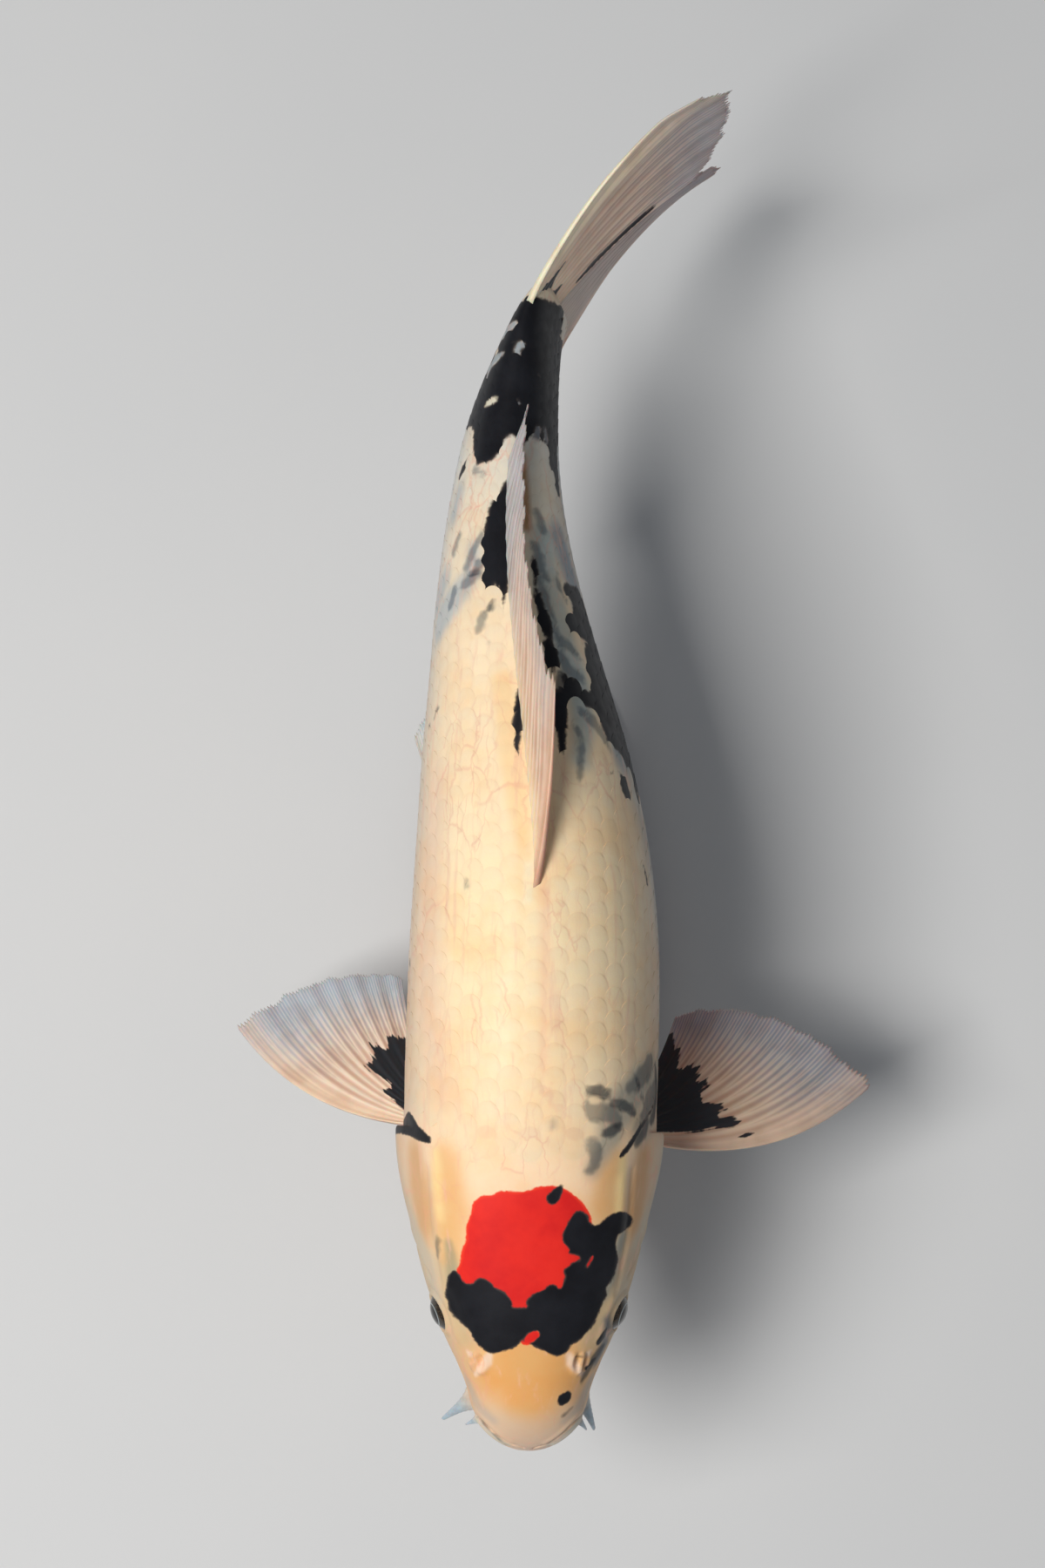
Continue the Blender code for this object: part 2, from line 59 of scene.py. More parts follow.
LOG = logging.getLogger("koi")
MM = 0.001
BAKE_MAP = "OFBake"
OUTSIDE = -30.0  # mm inside a mark, for places that are nowhere near it
REACH = 14.0  # mm round a mark within which its depth is worked out


def smoothstep(low: float, high: float, x: Array | float) -> Array:
    """0 before low, 1 after high, and a smooth S between them."""
    t = np.clip((np.asarray(x, dtype=float) - low) / (high - low), 0.0, 1.0)
    return t * t * (3 - 2 * t)


def blend(start: Array | float, end: Array | float, share: Array | float) -> Array:
    """A value that is a share of the way from start to end."""
    return start + (end - start) * share


def linear(red: float, green: float, blue: float) -> Colour:
    """A colour for shaders from its display values of 0 to 255."""
    return tuple(float(v) for v in ((np.array([red, green, blue]) / 255.0) ** 2.2))


def wander(x: Array, seed: float) -> Array:
    """A smooth irregular wave of x between about -1 and 1, the same on every run.

    Args:
        x: the numbers.
        seed: which wave.

    Returns:
        The wave at each number.
    """
    return (
        np.sin(x * 1 + seed * 1.7)
        + 0.7 * np.sin(x * 2.31 + seed * 4.1)
        + 0.5 * np.sin(x * 4.73 + seed * 2.9)
    ) / 2.2


# The form of the body


@dataclass(frozen=True)
class BodyForm:
    """The shape of the fish's body, shared by its skin, scales, fins and markings."""

    spine_height: float = 0.135
    snout_x: float = -0.0010
    snout_y: float = -0.1925
    length: float = 0.457
    spine_length: float = 0.620
    nose_length: float = 0.020
    turns: tuple[tuple[float, float, float], ...] = (
        (1.6, 0.090, 0.125),
        (-7.6, 0.160, 0.282),
        (41.8, 0.291, 0.582),
        (15.0, 0.435, 0.460),
    )
    # along, half width, top, bottom, squareness of the outline
    stations: tuple[tuple[float, float, float, float, float], ...] = (
        (0.000, 0.0212, 0.0170, 0.0150, 2.10),
        (0.022, 0.0235, 0.0262, 0.0225, 2.25),
        (0.048, 0.0345, 0.0370, 0.0315, 2.40),
        (0.075, 0.0430, 0.0468, 0.0400, 2.45),
        (0.105, 0.0482, 0.0568, 0.0480, 2.30),
        (0.155, 0.0495, 0.0672, 0.0555, 2.15),
        (0.205, 0.0484, 0.0695, 0.0580, 2.10),
        (0.260, 0.0423, 0.0640, 0.0555, 2.10),
        (0.315, 0.0322, 0.0530, 0.0468, 2.10),
        (0.365, 0.0237, 0.0408, 0.0352, 2.10),
        (0.410, 0.0168, 0.0318, 0.0272, 2.10),
        (0.442, 0.0090, 0.0285, 0.0255, 2.10),
        (0.457, 0.0046, 0.0265, 0.0240, 2.00),
    )
    roll: tuple[float, float, float] = (13.0, 0.385, 0.455)  # degrees, from, to
    roll_line: float = 0.0095  # height over the spine of the line that the stalk rolls about
    gill_joint: float = 0.110
    gill_top: float = 0.098
    gill_side: float = 0.122
    gill_bottom: float = 0.086
    gill_blend_head: float = 0.058
    gill_blend_trunk: float = 0.172
    gill_front: float = 0.074
    gill_upper: float = 47.0
    gill_lower: float = 134.0
    gill_rise: float = 0.0030
    nape: float = 0.103  # where the scales of the back begin

    @cached_property
    def spine(self) -> tuple[Array, Array, Array, Array]:
        """Distances along the bent spine, its points and its heading at each.

        Returns:
            Distances, x, y and heading, one number for each step.
        """
        steps = 1240
        along = np.linspace(0, self.spine_length, steps + 1)
        heading = sum(math.radians(turn) * smoothstep(start, end, along) for turn, start, end in self.turns)
        step = self.spine_length / steps
        middle = (heading[1:] + heading[:-1]) / 2
        x = self.snout_x + np.concatenate([[0], np.cumsum(np.sin(middle) * step)])
        y = self.snout_y + np.concatenate([[0], np.cumsum(np.cos(middle) * step)])
        return along, x, y, heading

    @cached_property
    def curves(self) -> tuple[Array, Array, Array]:
        """Distances of the stations, their values and the slopes of the curves through them.

        Returns:
            Distances, rows of values and rows of slopes.
        """
        table = np.array(self.stations)
        x, y = table[:, 0], table[:, 1:]
        slopes = np.diff(y, axis=0) / np.diff(x)[:, None]
        tangents = np.concatenate([slopes[:1], (slopes[:-1] + slopes[1:]) / 2, slopes[-1:]])
        tangents[1:-1][slopes[:-1] * slopes[1:] <= 0] = 0
        return x, y, tangents

    def station(self, column: int, along: Array) -> Array:
        """Half width (0), top (1), bottom (2) or squareness (3) of the sections at the distances along.

        Args:
            column: which of them.
            along: the distances.

        Returns:
            The value at each distance, in metres but for squareness.
        """
        x, y, tangents = self.curves
        along = np.asarray(along, dtype=float)
        i = np.clip(np.searchsorted(x, along) - 1, 0, len(x) - 2)
        h = x[i + 1] - x[i]
        t = np.clip((along - x[i]) / h, 0, 1)
        rise = (3 * t**2 - 2 * t**3) * (y[i + 1, column] - y[i, column]) + y[i, column]
        bend = (t**3 - 2 * t**2 + t) * tangents[i, column] + (t**3 - t**2) * tangents[i + 1, column]
        return rise + h * bend

    def at(self, along: Array, across: Array, up: Array) -> Array:
        """Points of the frame at body coordinates.

        Args:
            along, across, up: the coordinates, in metres.

        Returns:
            The points, as rows of x, y and z.
        """
        s, x, y, heading = self.spine
        along, across, up = np.broadcast_arrays(*(np.asarray(v, dtype=float) for v in (along, across, up)))
        h = np.interp(along, s, heading)
        ahead = np.minimum(0, along)
        px = np.interp(along, s, x) + across * np.cos(h) + ahead * np.sin(h)
        py = np.interp(along, s, y) - across * np.sin(h) + ahead * np.cos(h)
        return np.stack([px, py, self.spine_height + up], axis=-1)

    def gill_line(self, angle: Array) -> Array:
        """How far along the gill opening is, at angles round from the back.

        Args:
            angle: the angles, in degrees.

        Returns:
            The distances along.
        """
        round_ = np.abs(angle)
        upper = blend(self.gill_top, self.gill_side, smoothstep(18, 64, round_))
        lower = blend(self.gill_side, self.gill_bottom, smoothstep(108, 172, round_))
        return np.where(round_ < 90, upper, lower)

    def bowed(self, flat: Array, angle: Array) -> Array:
        """Sections near the gill opening bow to follow it.

        Args:
            flat: distances along of plain sections.
            angle: angles round from the back.

        Returns:
            The distances along where the bowed sections lie.
        """
        before = smoothstep(self.gill_blend_head, self.gill_joint, flat)
        behind = 1 - smoothstep(self.gill_joint, self.gill_blend_trunk, flat)
        share = np.where(flat < self.gill_joint, before, behind)
        return flat + (self.gill_line(angle) - self.gill_joint) * share

    def cover(self, angle: Array) -> Array:
        """1 where the gill cover stands off the body and 0 on the back and belly.

        Args:
            angle: angles round from the back.

        Returns:
            The share at each.
        """
        round_ = np.abs(angle)
        upper = smoothstep(self.gill_upper + 6, self.gill_upper + 34, round_)
        return upper * (1 - smoothstep(self.gill_lower - 26, self.gill_lower + 4, round_))

    def radius(self, along: Array, angle: Array) -> Array:
        """Distance from the spine to the surface.

        Args:
            along, angle: the places, on the body.

        Returns:
            The distances in metres.
        """
        a = np.radians(angle)
        height = np.where(np.cos(a) > 0, self.station(1, along), self.station(2, along))
        power = self.station(3, along)
        across = np.abs(np.sin(a)) / self.station(0, along)
        upright = np.abs(np.cos(a)) / height
        tip = 1 - np.clip(along / self.nose_length, 0, 1)
        return np.sqrt(np.maximum(0, 1 - tip * tip)) / (across**power + upright**power) ** (1 / power)

    def rolled(self, along: Array, angle: Array, radius: Array) -> Array:
        """Points at a radius from the spine, with the stalk rolled top towards the fish's right.

        Args:
            along, angle: the places, on the body.
            radius: distances from the spine.

        Returns:
            The points, as rows.
        """
        most, start, end = self.roll
        roll = math.radians(most) * smoothstep(start, end, along)
        a = np.radians(angle) - roll
        return self.at(along, radius * np.sin(a) + self.roll_line * np.sin(roll), radius * np.cos(a))

    def plain(self, along: Array, angle: Array) -> Array:
        """Points of the body's surface."""
        return self.rolled(along, angle, self.radius(along, angle))

    def normal(self, along: Array, angle: Array) -> Array:
        """The way out of the body at places on its surface.

        Args:
            along, angle: the places, on the body.

        Returns:
            Directions 1 in length, as rows.
        """
        along, angle = np.broadcast_arrays(np.asarray(along, dtype=float), np.asarray(angle, dtype=float))
        near = np.minimum(0.0004, np.maximum(1e-7, along * 0.5))
        forward = self.plain(along + near, angle) - self.plain(along - near, angle)
        round_ = self.plain(along, angle + 0.25) - self.plain(along, angle - 0.25)
        out = np.cross(round_, forward)
        size = np.linalg.norm(out, axis=-1, keepdims=True)
        ahead = np.zeros_like(out)
        ahead[..., 1] = -1
        return np.where((size > 1e-16) & (along[..., None] > 2e-7), out / np.maximum(size, 1e-16), ahead)

    def surface(self, along: Array, angle: Array, lift: Array | float = 0.0) -> Array:
        """Points at a height off the body's surface."""
        lift = np.asarray(lift, dtype=float)
        return self.plain(along, angle) + self.normal(along, angle) * lift[..., None]

    @cached_property
    def girths(self) -> tuple[Array, Array, Array]:
        """Distances along, angles, and the distance over the skin from the back to each.

        Returns:
            The distances along, the angles and a table with a row for each distance along.
        """
        along, angle = np.linspace(0, self.length, 232), np.linspace(0, 180, 181)
        points = self.plain(along[:, None], angle[None, :])
        steps = np.linalg.norm(np.diff(points, axis=1), axis=-1)
        return along, angle, np.concatenate([np.zeros((len(along), 1)), np.cumsum(steps, axis=1)], axis=1)

    def girth(self, along: Array, angle: Array) -> Array:
        """The distance over the skin from the middle of the back, positive on the fish's left.

        Args:
            along, angle: the places, on the body.

        Returns:
            The distances in metres.
        """
        s, _, table = self.girths
        i = np.clip(along / s[-1], 0, 1) * (len(s) - 1)
        j = np.clip(np.abs(angle), 0, 180)
        i0, j0 = np.minimum(i.astype(int), len(s) - 2), np.minimum(j.astype(int), 179)
        u, v = i - i0, j - j0
        low = table[i0, j0] * (1 - v) + table[i0, j0 + 1] * v
        high = table[i0 + 1, j0] * (1 - v) + table[i0 + 1, j0 + 1] * v
        return np.sign(angle) * (low * (1 - u) + high * u)

    def unwrap(self, along: Array, angle: Array) -> Array:
        """The place of each point on a flat map of the skin, with more room for the head.

        Args:
            along, angle: the places, on the body.

        Returns:
            Rows of two numbers from 0 to 1.
        """
        widest = float(self.girths[2][:, -1].max())
        head = 0.12
        u = (along + 0.9 * np.minimum(along, head)) / (self.length + 0.9 * head)
        v = 0.5 + 0.49 * self.girth(along, angle) / widest
        return np.stack([0.01 + 0.98 * u, v], axis=-1)

    def scale_line(self, angle: Array) -> Array:
        """How far along the scales begin."""
        return np.maximum(self.gill_line(angle) + 0.003, self.nape + 0.004 * np.abs(angle) / 90)


FORM = BodyForm()


# Marks on the skin


@dataclass(frozen=True)
class Stroke:
    """A brush stroke on the skin. Each point is (mm along, degrees round, half width in mm)."""

    points: tuple[tuple[float, float, float], ...]

    def depth(self, along: Array, places: Array) -> Array:
        """How far inside the stroke places are.

        Args:
            along: the places' distances along the spine.
            places: their points in the frame.

        Returns:
            Millimetres inside the stroke's edge, negative outside it.
        """
        depth = np.full(len(along), OUTSIDE)
        lows, highs = min(p[0] - p[2] for p in self.points), max(p[0] + p[2] for p in self.points)
        near = np.flatnonzero((along > (lows - REACH) * MM) & (along < (highs + REACH) * MM))
        if not len(near):
            return depth
        line = np.array(self.points, dtype=float)
        if len(line) > 1:
            spans = np.hypot(np.diff(line[:, 0]), np.diff(line[:, 1]) * 0.8)
            marks = np.concatenate([[0], np.cumsum(np.maximum(spans, 1e-6))])
            fine = np.linspace(0, marks[-1], max(2, int(marks[-1] / 4) + 2))
            line = np.stack([np.interp(fine, marks, line[:, k]) for k in range(3)], axis=-1)
        centres = FORM.plain(line[:, 0] * MM, line[:, 1])
        here = places[near]
        best = line[0, 2] - np.linalg.norm(here - centres[0], axis=1) / MM
        for a, b, wide_a, wide_b in zip(centres[:-1], centres[1:], line[:-1, 2], line[1:, 2]):
            leg = b - a
            t = np.clip((here - a) @ leg / max(1e-12, float(leg @ leg)), 0.0, 1.0)
            gap = np.linalg.norm(here - a - t[:, None] * leg, axis=1) / MM
            best = np.maximum(best, wide_a + (wide_b - wide_a) * t - gap)
        depth[near] = best
        return depth


def smooth_ring(corners: Array) -> Array:
    """A smooth closed line through corners.

    Args:
        corners: its corners, as rows.

    Returns:
        Six points of the line for each corner.
    """
    t = np.linspace(0, 1, 6, endpoint=False)[:, None]
    legs = []
    for i in range(len(corners)):
        a, b, c, d = (corners[(i + k) % len(corners)] for k in (-1, 0, 1, 2))
        legs.append(0.5 * (2 * b + (c - a) * t + (2 * a - 5 * b + 4 * c - d) * t**2 + (3 * b - a - 3 * c + d) * t**3))
    return np.concatenate(legs)


def ring_depth(ring: Array, x: Array, y: Array) -> Array:
    """How far inside a closed line points are, negative outside it.

    Args:
        ring: the line's points, as rows.
        x, y: the points to look at.

    Returns:
        The depths, in the line's own units.
    """
    inside = np.zeros(len(x), dtype=bool)
    gap = np.full(len(x), np.inf)
    for a, b in zip(ring, np.roll(ring, -1, axis=0)):
        leg = b - a
        t = np.clip(((x - a[0]) * leg[0] + (y - a[1]) * leg[1]) / max(1e-12, float(leg @ leg)), 0.0, 1.0)
        gap = np.minimum(gap, np.hypot(x - a[0] - t * leg[0], y - a[1] - t * leg[1]))
        crosses = (a[1] > y) != (b[1] > y)
        reach = a[0] + (y - a[1]) / (leg[1] if leg[1] else 1e-12) * leg[0]
        inside ^= crosses & (x < reach)
    return np.where(inside, gap, -gap)


@dataclass(frozen=True)
class Outline:
    """A patch on top of the head, by a smooth closed line of (mm along, mm across) seen from above."""

    points: tuple[tuple[float, float], ...]
    most: float = 84.0  # degrees round the body that it can reach

    @cached_property
    def line(self) -> Array:
        """The smooth closed line through the points."""
        return smooth_ring(self.corners())

    def corners(self) -> Array:
        """The points in millimetres."""
        return np.array(self.points, dtype=float)

    def across(self, along: Array, angle: Array) -> Array:
        """Millimetres from the middle line of places on the skin."""
        return FORM.radius(along, angle) * np.sin(np.radians(angle)) / MM

    def depth(self, along: Array, angle: Array) -> Array:
        """Millimetres inside the line, negative outside it.

        Args:
            along, angle: the places, on the body.

        Returns:
            The depth at each place.
        """
        depth = np.full(len(along), OUTSIDE)
        line = self.line
        low, high = line[:, 0].min() - REACH, line[:, 0].max() + REACH
        near = np.flatnonzero((along > low * MM) & (along < high * MM) & (np.abs(angle) < self.most))
        depth[near] = ring_depth(line, along[near] / MM, self.across(along[near], angle[near]))
        return depth


@dataclass(frozen=True)
class Patch(Outline):
    """A patch anywhere on the skin, by a smooth closed line of (mm along, degrees round)."""

    most: float = 181.0

    def corners(self) -> Array:
        """The points, with their distances over the skin from the middle of the back."""
        p = np.array(self.points, dtype=float)
        return np.stack([p[:, 0], FORM.girth(p[:, 0] * MM, p[:, 1]) / MM], axis=-1)

    def across(self, along: Array, angle: Array) -> Array:
        """Millimetres over the skin from the middle of the back."""
        return FORM.girth(along, angle) / MM


@dataclass(frozen=True)
class Marking:
    """A colour of the pattern: where it is laid, and the light spots left in it."""

    strokes: tuple[Stroke, ...] = ()
    outlines: tuple[Outline, ...] = ()
    holes: tuple[Stroke, ...] = ()

    def depth(self, along: Array, angle: Array, places: Array) -> Array:
        """Millimetres inside the marking, negative outside it.

        Args:
            along, angle: the places, on the body.
            places: the same places, in the frame.

        Returns:
            The depth at each place.
        """
        best = np.full(len(along), OUTSIDE)
        for stroke in self.strokes:
            best = np.maximum(best, stroke.depth(along, places))
        for outline in self.outlines:
            best = np.maximum(best, outline.depth(along, angle))
        for hole in self.holes:
            best = np.minimum(best, -hole.depth(along, places))
        return best


@dataclass(frozen=True)
class Wash:
    """A soft tint over part of the skin."""

    colour: Colour  # display values
    strength: float
    softness: float  # mm over which it fades
    strokes: tuple[Stroke, ...]
    both_sides: bool = False

    def amount(self, along: Array, places: Array, mirrored: Array) -> Array:
        """How much of the tint shows at each place.

        Args:
            along: distances along.
            places: the places in the frame.
            mirrored: the same places on the other side.

        Returns:
            Amounts from 0 to the strength.
        """
        best = np.full(len(along), OUTSIDE)
        for stroke in self.strokes:
            best = np.maximum(best, stroke.depth(along, places))
            if self.both_sides:
                best = np.maximum(best, stroke.depth(along, mirrored))
        return self.strength * smoothstep(-self.softness, self.softness * 0.6, best)


def strokes(*lines: tuple[tuple[float, float, float], ...]) -> tuple[Stroke, ...]:
    """Strokes through points of (mm along, degrees round, half width in mm)."""
    return tuple(Stroke(line) for line in lines)


RED = Marking(
    outlines=(
        Outline((
            (97.6, -10), (97, -5), (97.8, 0), (99.2, 5), (99.6, 9), (98, 14), (96, 17), (92.5, 20.5),
            (88, 23), (82, 24), (74, 27), (66, 26), (58, 20), (53, 6), (50, -2), (56, -12), (58, -24),
            (66, -27.5), (71, -26), (76, -25), (79.5, -23.6), (84, -23.6), (87.5, -22.6), (90.5, -21.4),
            (93.5, -20.6), (95.6, -17.5), (96, -14),
        )),
    ),
    strokes=strokes(((42.3, -1.5, 2.2), (44, 3, 2.6))),
)

BLACK = Marking(
    outlines=(
        # over the front of the head, from one temple to the other
        Outline((
            (67.8, -29.4), (68.1, -27.6), (66, -25.8), (63.5, -23.8), (63.4, -21.2), (65, -19.6), (65.4, -17.4),
            (64.2, -14.8), (61.8, -12.4), (60, -9.2), (57.8, -7), (56, -5.8), (54.6, -6.2), (54.4, -4), (54.6, -0.8),
            (56.6, -1), (58.2, 0.2), (60.2, 2.4), (61, 4.8), (63, 7.6), (63, 9.8), (61.6, 11.6), (63.8, 12.8),
            (66, 13.6), (68, 12.8), (69.8, 14.6), (71.6, 17), (71.9, 19), (73.4, 18.6), (74, 16.2), (74.6, 14.4),
            (76, 14.8), (77.6, 13.4), (79.8, 12.4), (82.6, 12.8), (85.8, 14.4), (88.6, 15.8), (90.2, 17.8),
            (90, 20), (88.4, 21.8), (86.4, 22.6), (85.2, 24), (85.4, 26), (86.6, 27.6), (88.6, 30), (90.3, 33.2),
            (90, 36.6), (88.6, 39.2), (86.2, 39.6), (83.6, 38.2), (82.2, 35.6), (81.4, 33.6), (78.6, 32.8),
            (75, 33.2), (71.8, 33.6), (68.4, 32.8), (65.2, 31.4), (61.4, 29.4), (58.8, 29.6), (56.4, 28.2),
            (52.4, 26.6), (48.4, 24.6), (44.6, 21.8), (41.8, 18.6), (40.4, 16), (37.9, 14.4), (36.3, 11.8),
            (36.6, 8.8), (38.3, 5.4), (39.8, 2.2), (41.4, -1), (42.2, -2.6), (40.4, -4.2), (39, -6.8), (37.8, -10),
            (37.2, -14), (38.4, -17), (40.8, -19.8), (42.8, -21.2), (45.2, -22.4), (47.8, -24.8), (50.6, -27.8),
            (54, -30), (56.6, -30.6), (59.2, -31.8), (61.4, -31.4), (63.8, -30.8), (66, -30.4),
        )),
        # shoulder behind the right gill cover
        Patch((
            (126.8, -62), (122, -52), (118.5, -45), (115.6, -41), (114.6, -44.5), (116, -52), (117.6, -60),
            (118.6, -70), (119, -84), (123, -86), (124.8, -74),
        )),
        # beside the root of the dorsal fin
        Patch((
            (371, 0.4), (366, -3.5), (361.5, -8.5), (357, -9.6), (352, -10.4), (348, -12), (343, -12.4), (337, -12.2),
            (333, -13.4), (329.5, -11.8), (326, -9.8), (327.5, -8), (330, -6.8), (327, -5), (322, -4.6),
            (316.4, -3.4), (317.5, -2), (322, -1.2), (330, 0.6), (339, 1.6), (349, 1.8), (357, 1.8), (364, 1.6),
        )),
        Patch((
            (288, 1.2), (281, -1.2), (276, -3.2), (271, -4.4), (265, -4.6), (260, -5), (256, -4.8), (254.6, -3.6),
            (258, -2.2), (265, -0.8), (273, 0.2), (280, 1.6),
        )),
        # left flank
        Patch((
            (329, 31.5), (324, 32.5), (321.5, 35), (318.5, 33.5), (316, 30.5), (314.8, 27), (311.8, 24.5),
            (310.8, 27), (308.8, 29.5), (308, 34), (307.4, 39), (306.5, 45), (303, 52), (299, 64), (306, 78),
            (318, 76), (326, 64), (330, 50), (330.5, 40),
        )),
        Patch((
            (302.5, 39), (297.5, 37.5), (293, 35), (289.5, 34), (286.5, 35.5), (284.6, 33), (285, 29), (286.6, 26.4),
            (288.8, 27.6), (289.4, 25), (287.2, 21.6), (284.6, 20), (282, 22), (279.6, 25.5), (278.4, 31), (276, 35.4),
            (272.6, 35), (269, 37), (265.6, 38), (262, 34), (261.6, 36.5), (263.4, 42), (261.5, 50), (256, 57),
            (249, 68), (250, 88), (262, 96), (280, 90), (296, 78), (305, 62), (305.5, 48),
        )),
        Patch((
            (250.4, 32), (253, 33.6), (255, 36.5), (255.6, 41), (254.4, 45.5), (250.5, 47.5), (246, 49), (241, 52),
            (239, 51), (242.6, 47), (246.4, 43.6), (250, 42.4), (252.4, 40), (251.8, 36),
        )),
        # the band round the tail stalk
        Patch((
            (397, -88), (396.5, -62), (394.5, -33), (390.5, -30.5), (386.5, -28.5), (381.5, -25), (377.6, -21.5),
            (377.8, -16), (379.2, -10), (381, -6.6), (384, -4), (387, -2.4), (389.8, 0.4), (389.4, 4), (387, 8),
            (386, 10.4), (389, 13), (391, 18), (389.4, 22), (391.4, 28), (389, 33), (381, 38), (374, 45), (370.6, 51),
            (373, 56), (384, 57), (392, 62), (396, 78), (396, 92), (414, 92), (414, -88),
        )),
    ),
    strokes=strokes(
        ((94.8, 9.6, 2.7), (96.4, 10.6, 2.4), (99.6, 12.8, 0.6)),
        ((20, 31, 2.7), (20.6, 33.5, 2.7)),
        ((41.8, 50.5, 2.2), (44.4, 53.5, 2.5)),
        # core of the dark patch outside the left nostril: partly its own dark colour, partly painted shade
        ((31.6, 46, 0.8), (33, 50, 1.4), (34.6, 54.5, 1.3)),
        ((143.4, -28.2, 0.5), (144.8, -27.6, 0.9)),
        # shoulder behind the left gill cover
        ((130.6, 41.5, 0.7), (128, 46, 0.9), (124.6, 50, 0.7)),
        ((131.8, 66, 0.8), (128, 58, 0.7), (123.4, 50.4, 1.1), (118.8, 45.6, 1.5), (114.4, 41.4, 1.2),
            (111.4, 37.6, 1.1)),
        ((146, 60, 1.4), (143, 66, 1)),
        ((340, 12.5, 1.6), (334, 13, 2.4), (328, 12, 1.8)),
        ((326, 12, 2.1), (319, 12.5, 2.8), (311, 14, 2.8), (307, 15, 1.6)),
        ((303, 14, 2.2), (298, 14.5, 2.9), (292, 14, 2.2)),
        ((290, 19, 3), (285, 20.5, 3), (281, 18, 2.4)),
        ((284.2, 24.5, 0.9), (285.2, 27, 0.6)),
        ((281, 15, 2.4), (270, 13.6, 2.2), (262, 13, 1.6), (254, 12.2, 0.8)),
        ((254, 62, 1.2), (246, 66, 1.5), (238, 74, 1.1)),
        ((221, 53, 1), (214, 57, 1.5)),
        ((376, -43, 1.7), (379.6, -36.5, 2.5), (383.2, -31, 1.1)),
        ((347, -53, 0.9), (343, -56, 1)),
        ((406, -90, 10), (405, -45, 9), (405, 0, 10), (405, 45, 9), (406, 90, 10), (408, 180, 9)),
        ((406, -90, 10), (408, -180, 9)),
        ((422, -90, 9), (421, 0, 9), (422, 90, 9), (422, 180, 8)),
        ((422, -90, 9), (422, -180, 8)),
        ((436, -80, 8), (435, 0, 7.5), (437, 60, 8), (436, 180, 7)),
        ((436, -80, 8), (436, -180, 7)),
        ((444, -40, 3.5), (443, 0, 4), (449, 35, 5.5), (452, 90, 6)),
    ),
    holes=strokes(
        ((42.4, -1, 1.2), (43.5, 1.6, 1.8), (44.4, 4, 1.3)),
        ((69.8, 28.2, 0.5), (71.4, 29, 0.9), (73, 29.8, 0.4)),
        ((436, -6, 0.7), (435, -14, 1.8), (432, -24, 2), (429, -33, 0.8)),
        ((424, -12, 0.9), (422.5, -19, 2.4), (421, -29, 2.2)),
        ((427.5, -27, 1.3), (425, -24, 1.8)),
        ((419, -30, 1.8), (415.6, -29, 0.8)),
        ((428, 1.5, 0.9), (428.8, 5, 1.2)),
        ((426.6, 0.4, 0.7), (425, 1.6, 1.2)),
        ((422, 7, 0.5),),
        ((418.6, 21.5, 0.6), (417.2, 23, 1)),
        ((403.4, -20.5, 1.3), (404.2, -16.5, 2), (405, -12.6, 1.3)),
        ((405.8, 4, 0.8), (404.2, 6, 0.9)),
        ((395.4, 22, 1.2), (392.6, 20, 1.1)),
        ((396.8, 30, 1.1), (393, 31.5, 1.4)),
        ((304.4, 36.5, 1.2), (301, 37, 0.8)),
    ),
)

# dark pigment seen through the skin, deep and faint, with some painted shade among it: shadow lines along the lip
# groove, the left nostril's crease, part of the patch outside the left nostril and part of the dorsal fin's shadow
DUSK_AND_SHADE = Marking(
    strokes=strokes(
        # painted shadow lines along the groove over the upper lip, on both sides
        ((1.4, 40, 0.1), (2.2, 50, 0.3), (4.6, 54, 0.35), (7.6, 57, 0.35), (10.4, 62, 0.3), (12.8, 76, 0.1)),
        ((2.4, -62, 0.1), (6, -62, 0.2), (10.4, -64, 0.2), (12.8, -76, 0.1)),
        # painted shade in the crease of the left nostril
        ((34.6, 33, 0.2), (35.8, 36, 0.5), (36.8, 40, 0.2)),
        ((13.6, 37.5, 0.1), (15.4, 41, 0.3), (16.8, 45, 0.1)),
        ((135, 20.5, 1.9), (135.4, 24, 2.6), (134.2, 27.8, 1.6)),
        ((131.2, 31, 1.2), (131.2, 34.5, 2.2), (129.6, 39.5, 2.2), (127.6, 44, 1.4)),
        ((119.6, 28.6, 1.8), (120.8, 32, 2.4), (122.2, 35.5, 1.6)),
        ((141, 44, 0.5), (136, 48, 0.6), (131, 52, 0.5)),
        ((125.5, 57, 1.8), (121, 53, 2.6), (117, 47.5, 1.8)),
        ((126, 62, 2.2), (131, 72, 3), (139, 74, 3), (147, 66, 1.6)),
        # dark patch outside the left nostril: partly its own dark brown, partly painted shade of the shaded side of
        # the snout
        ((39, 60, 2), (36.6, 55, 2.7), (33.4, 52.5, 2.7), (30, 50, 2.2), (26.8, 47.5, 1.1)),
        ((322.4, -8, 0.9), (319.4, -9.4, 1.5)),
        ((334.6, -15, 1), (334.4, -19, 1.2)),
        ((283, -47.5, 0.4), (285.4, -45.5, 0.8), (286.4, -42.5, 0.4)),
        ((281, -56, 1),),
        ((186, -74, 0.9), (181, -70, 0.5), (178, -76, 0.8)),
        # partly dark pigment, partly painted shadow of the dorsal fin on the left side of the back
        ((290, 17, 1.8), (284, 15.5, 2.2)),
    ),
)
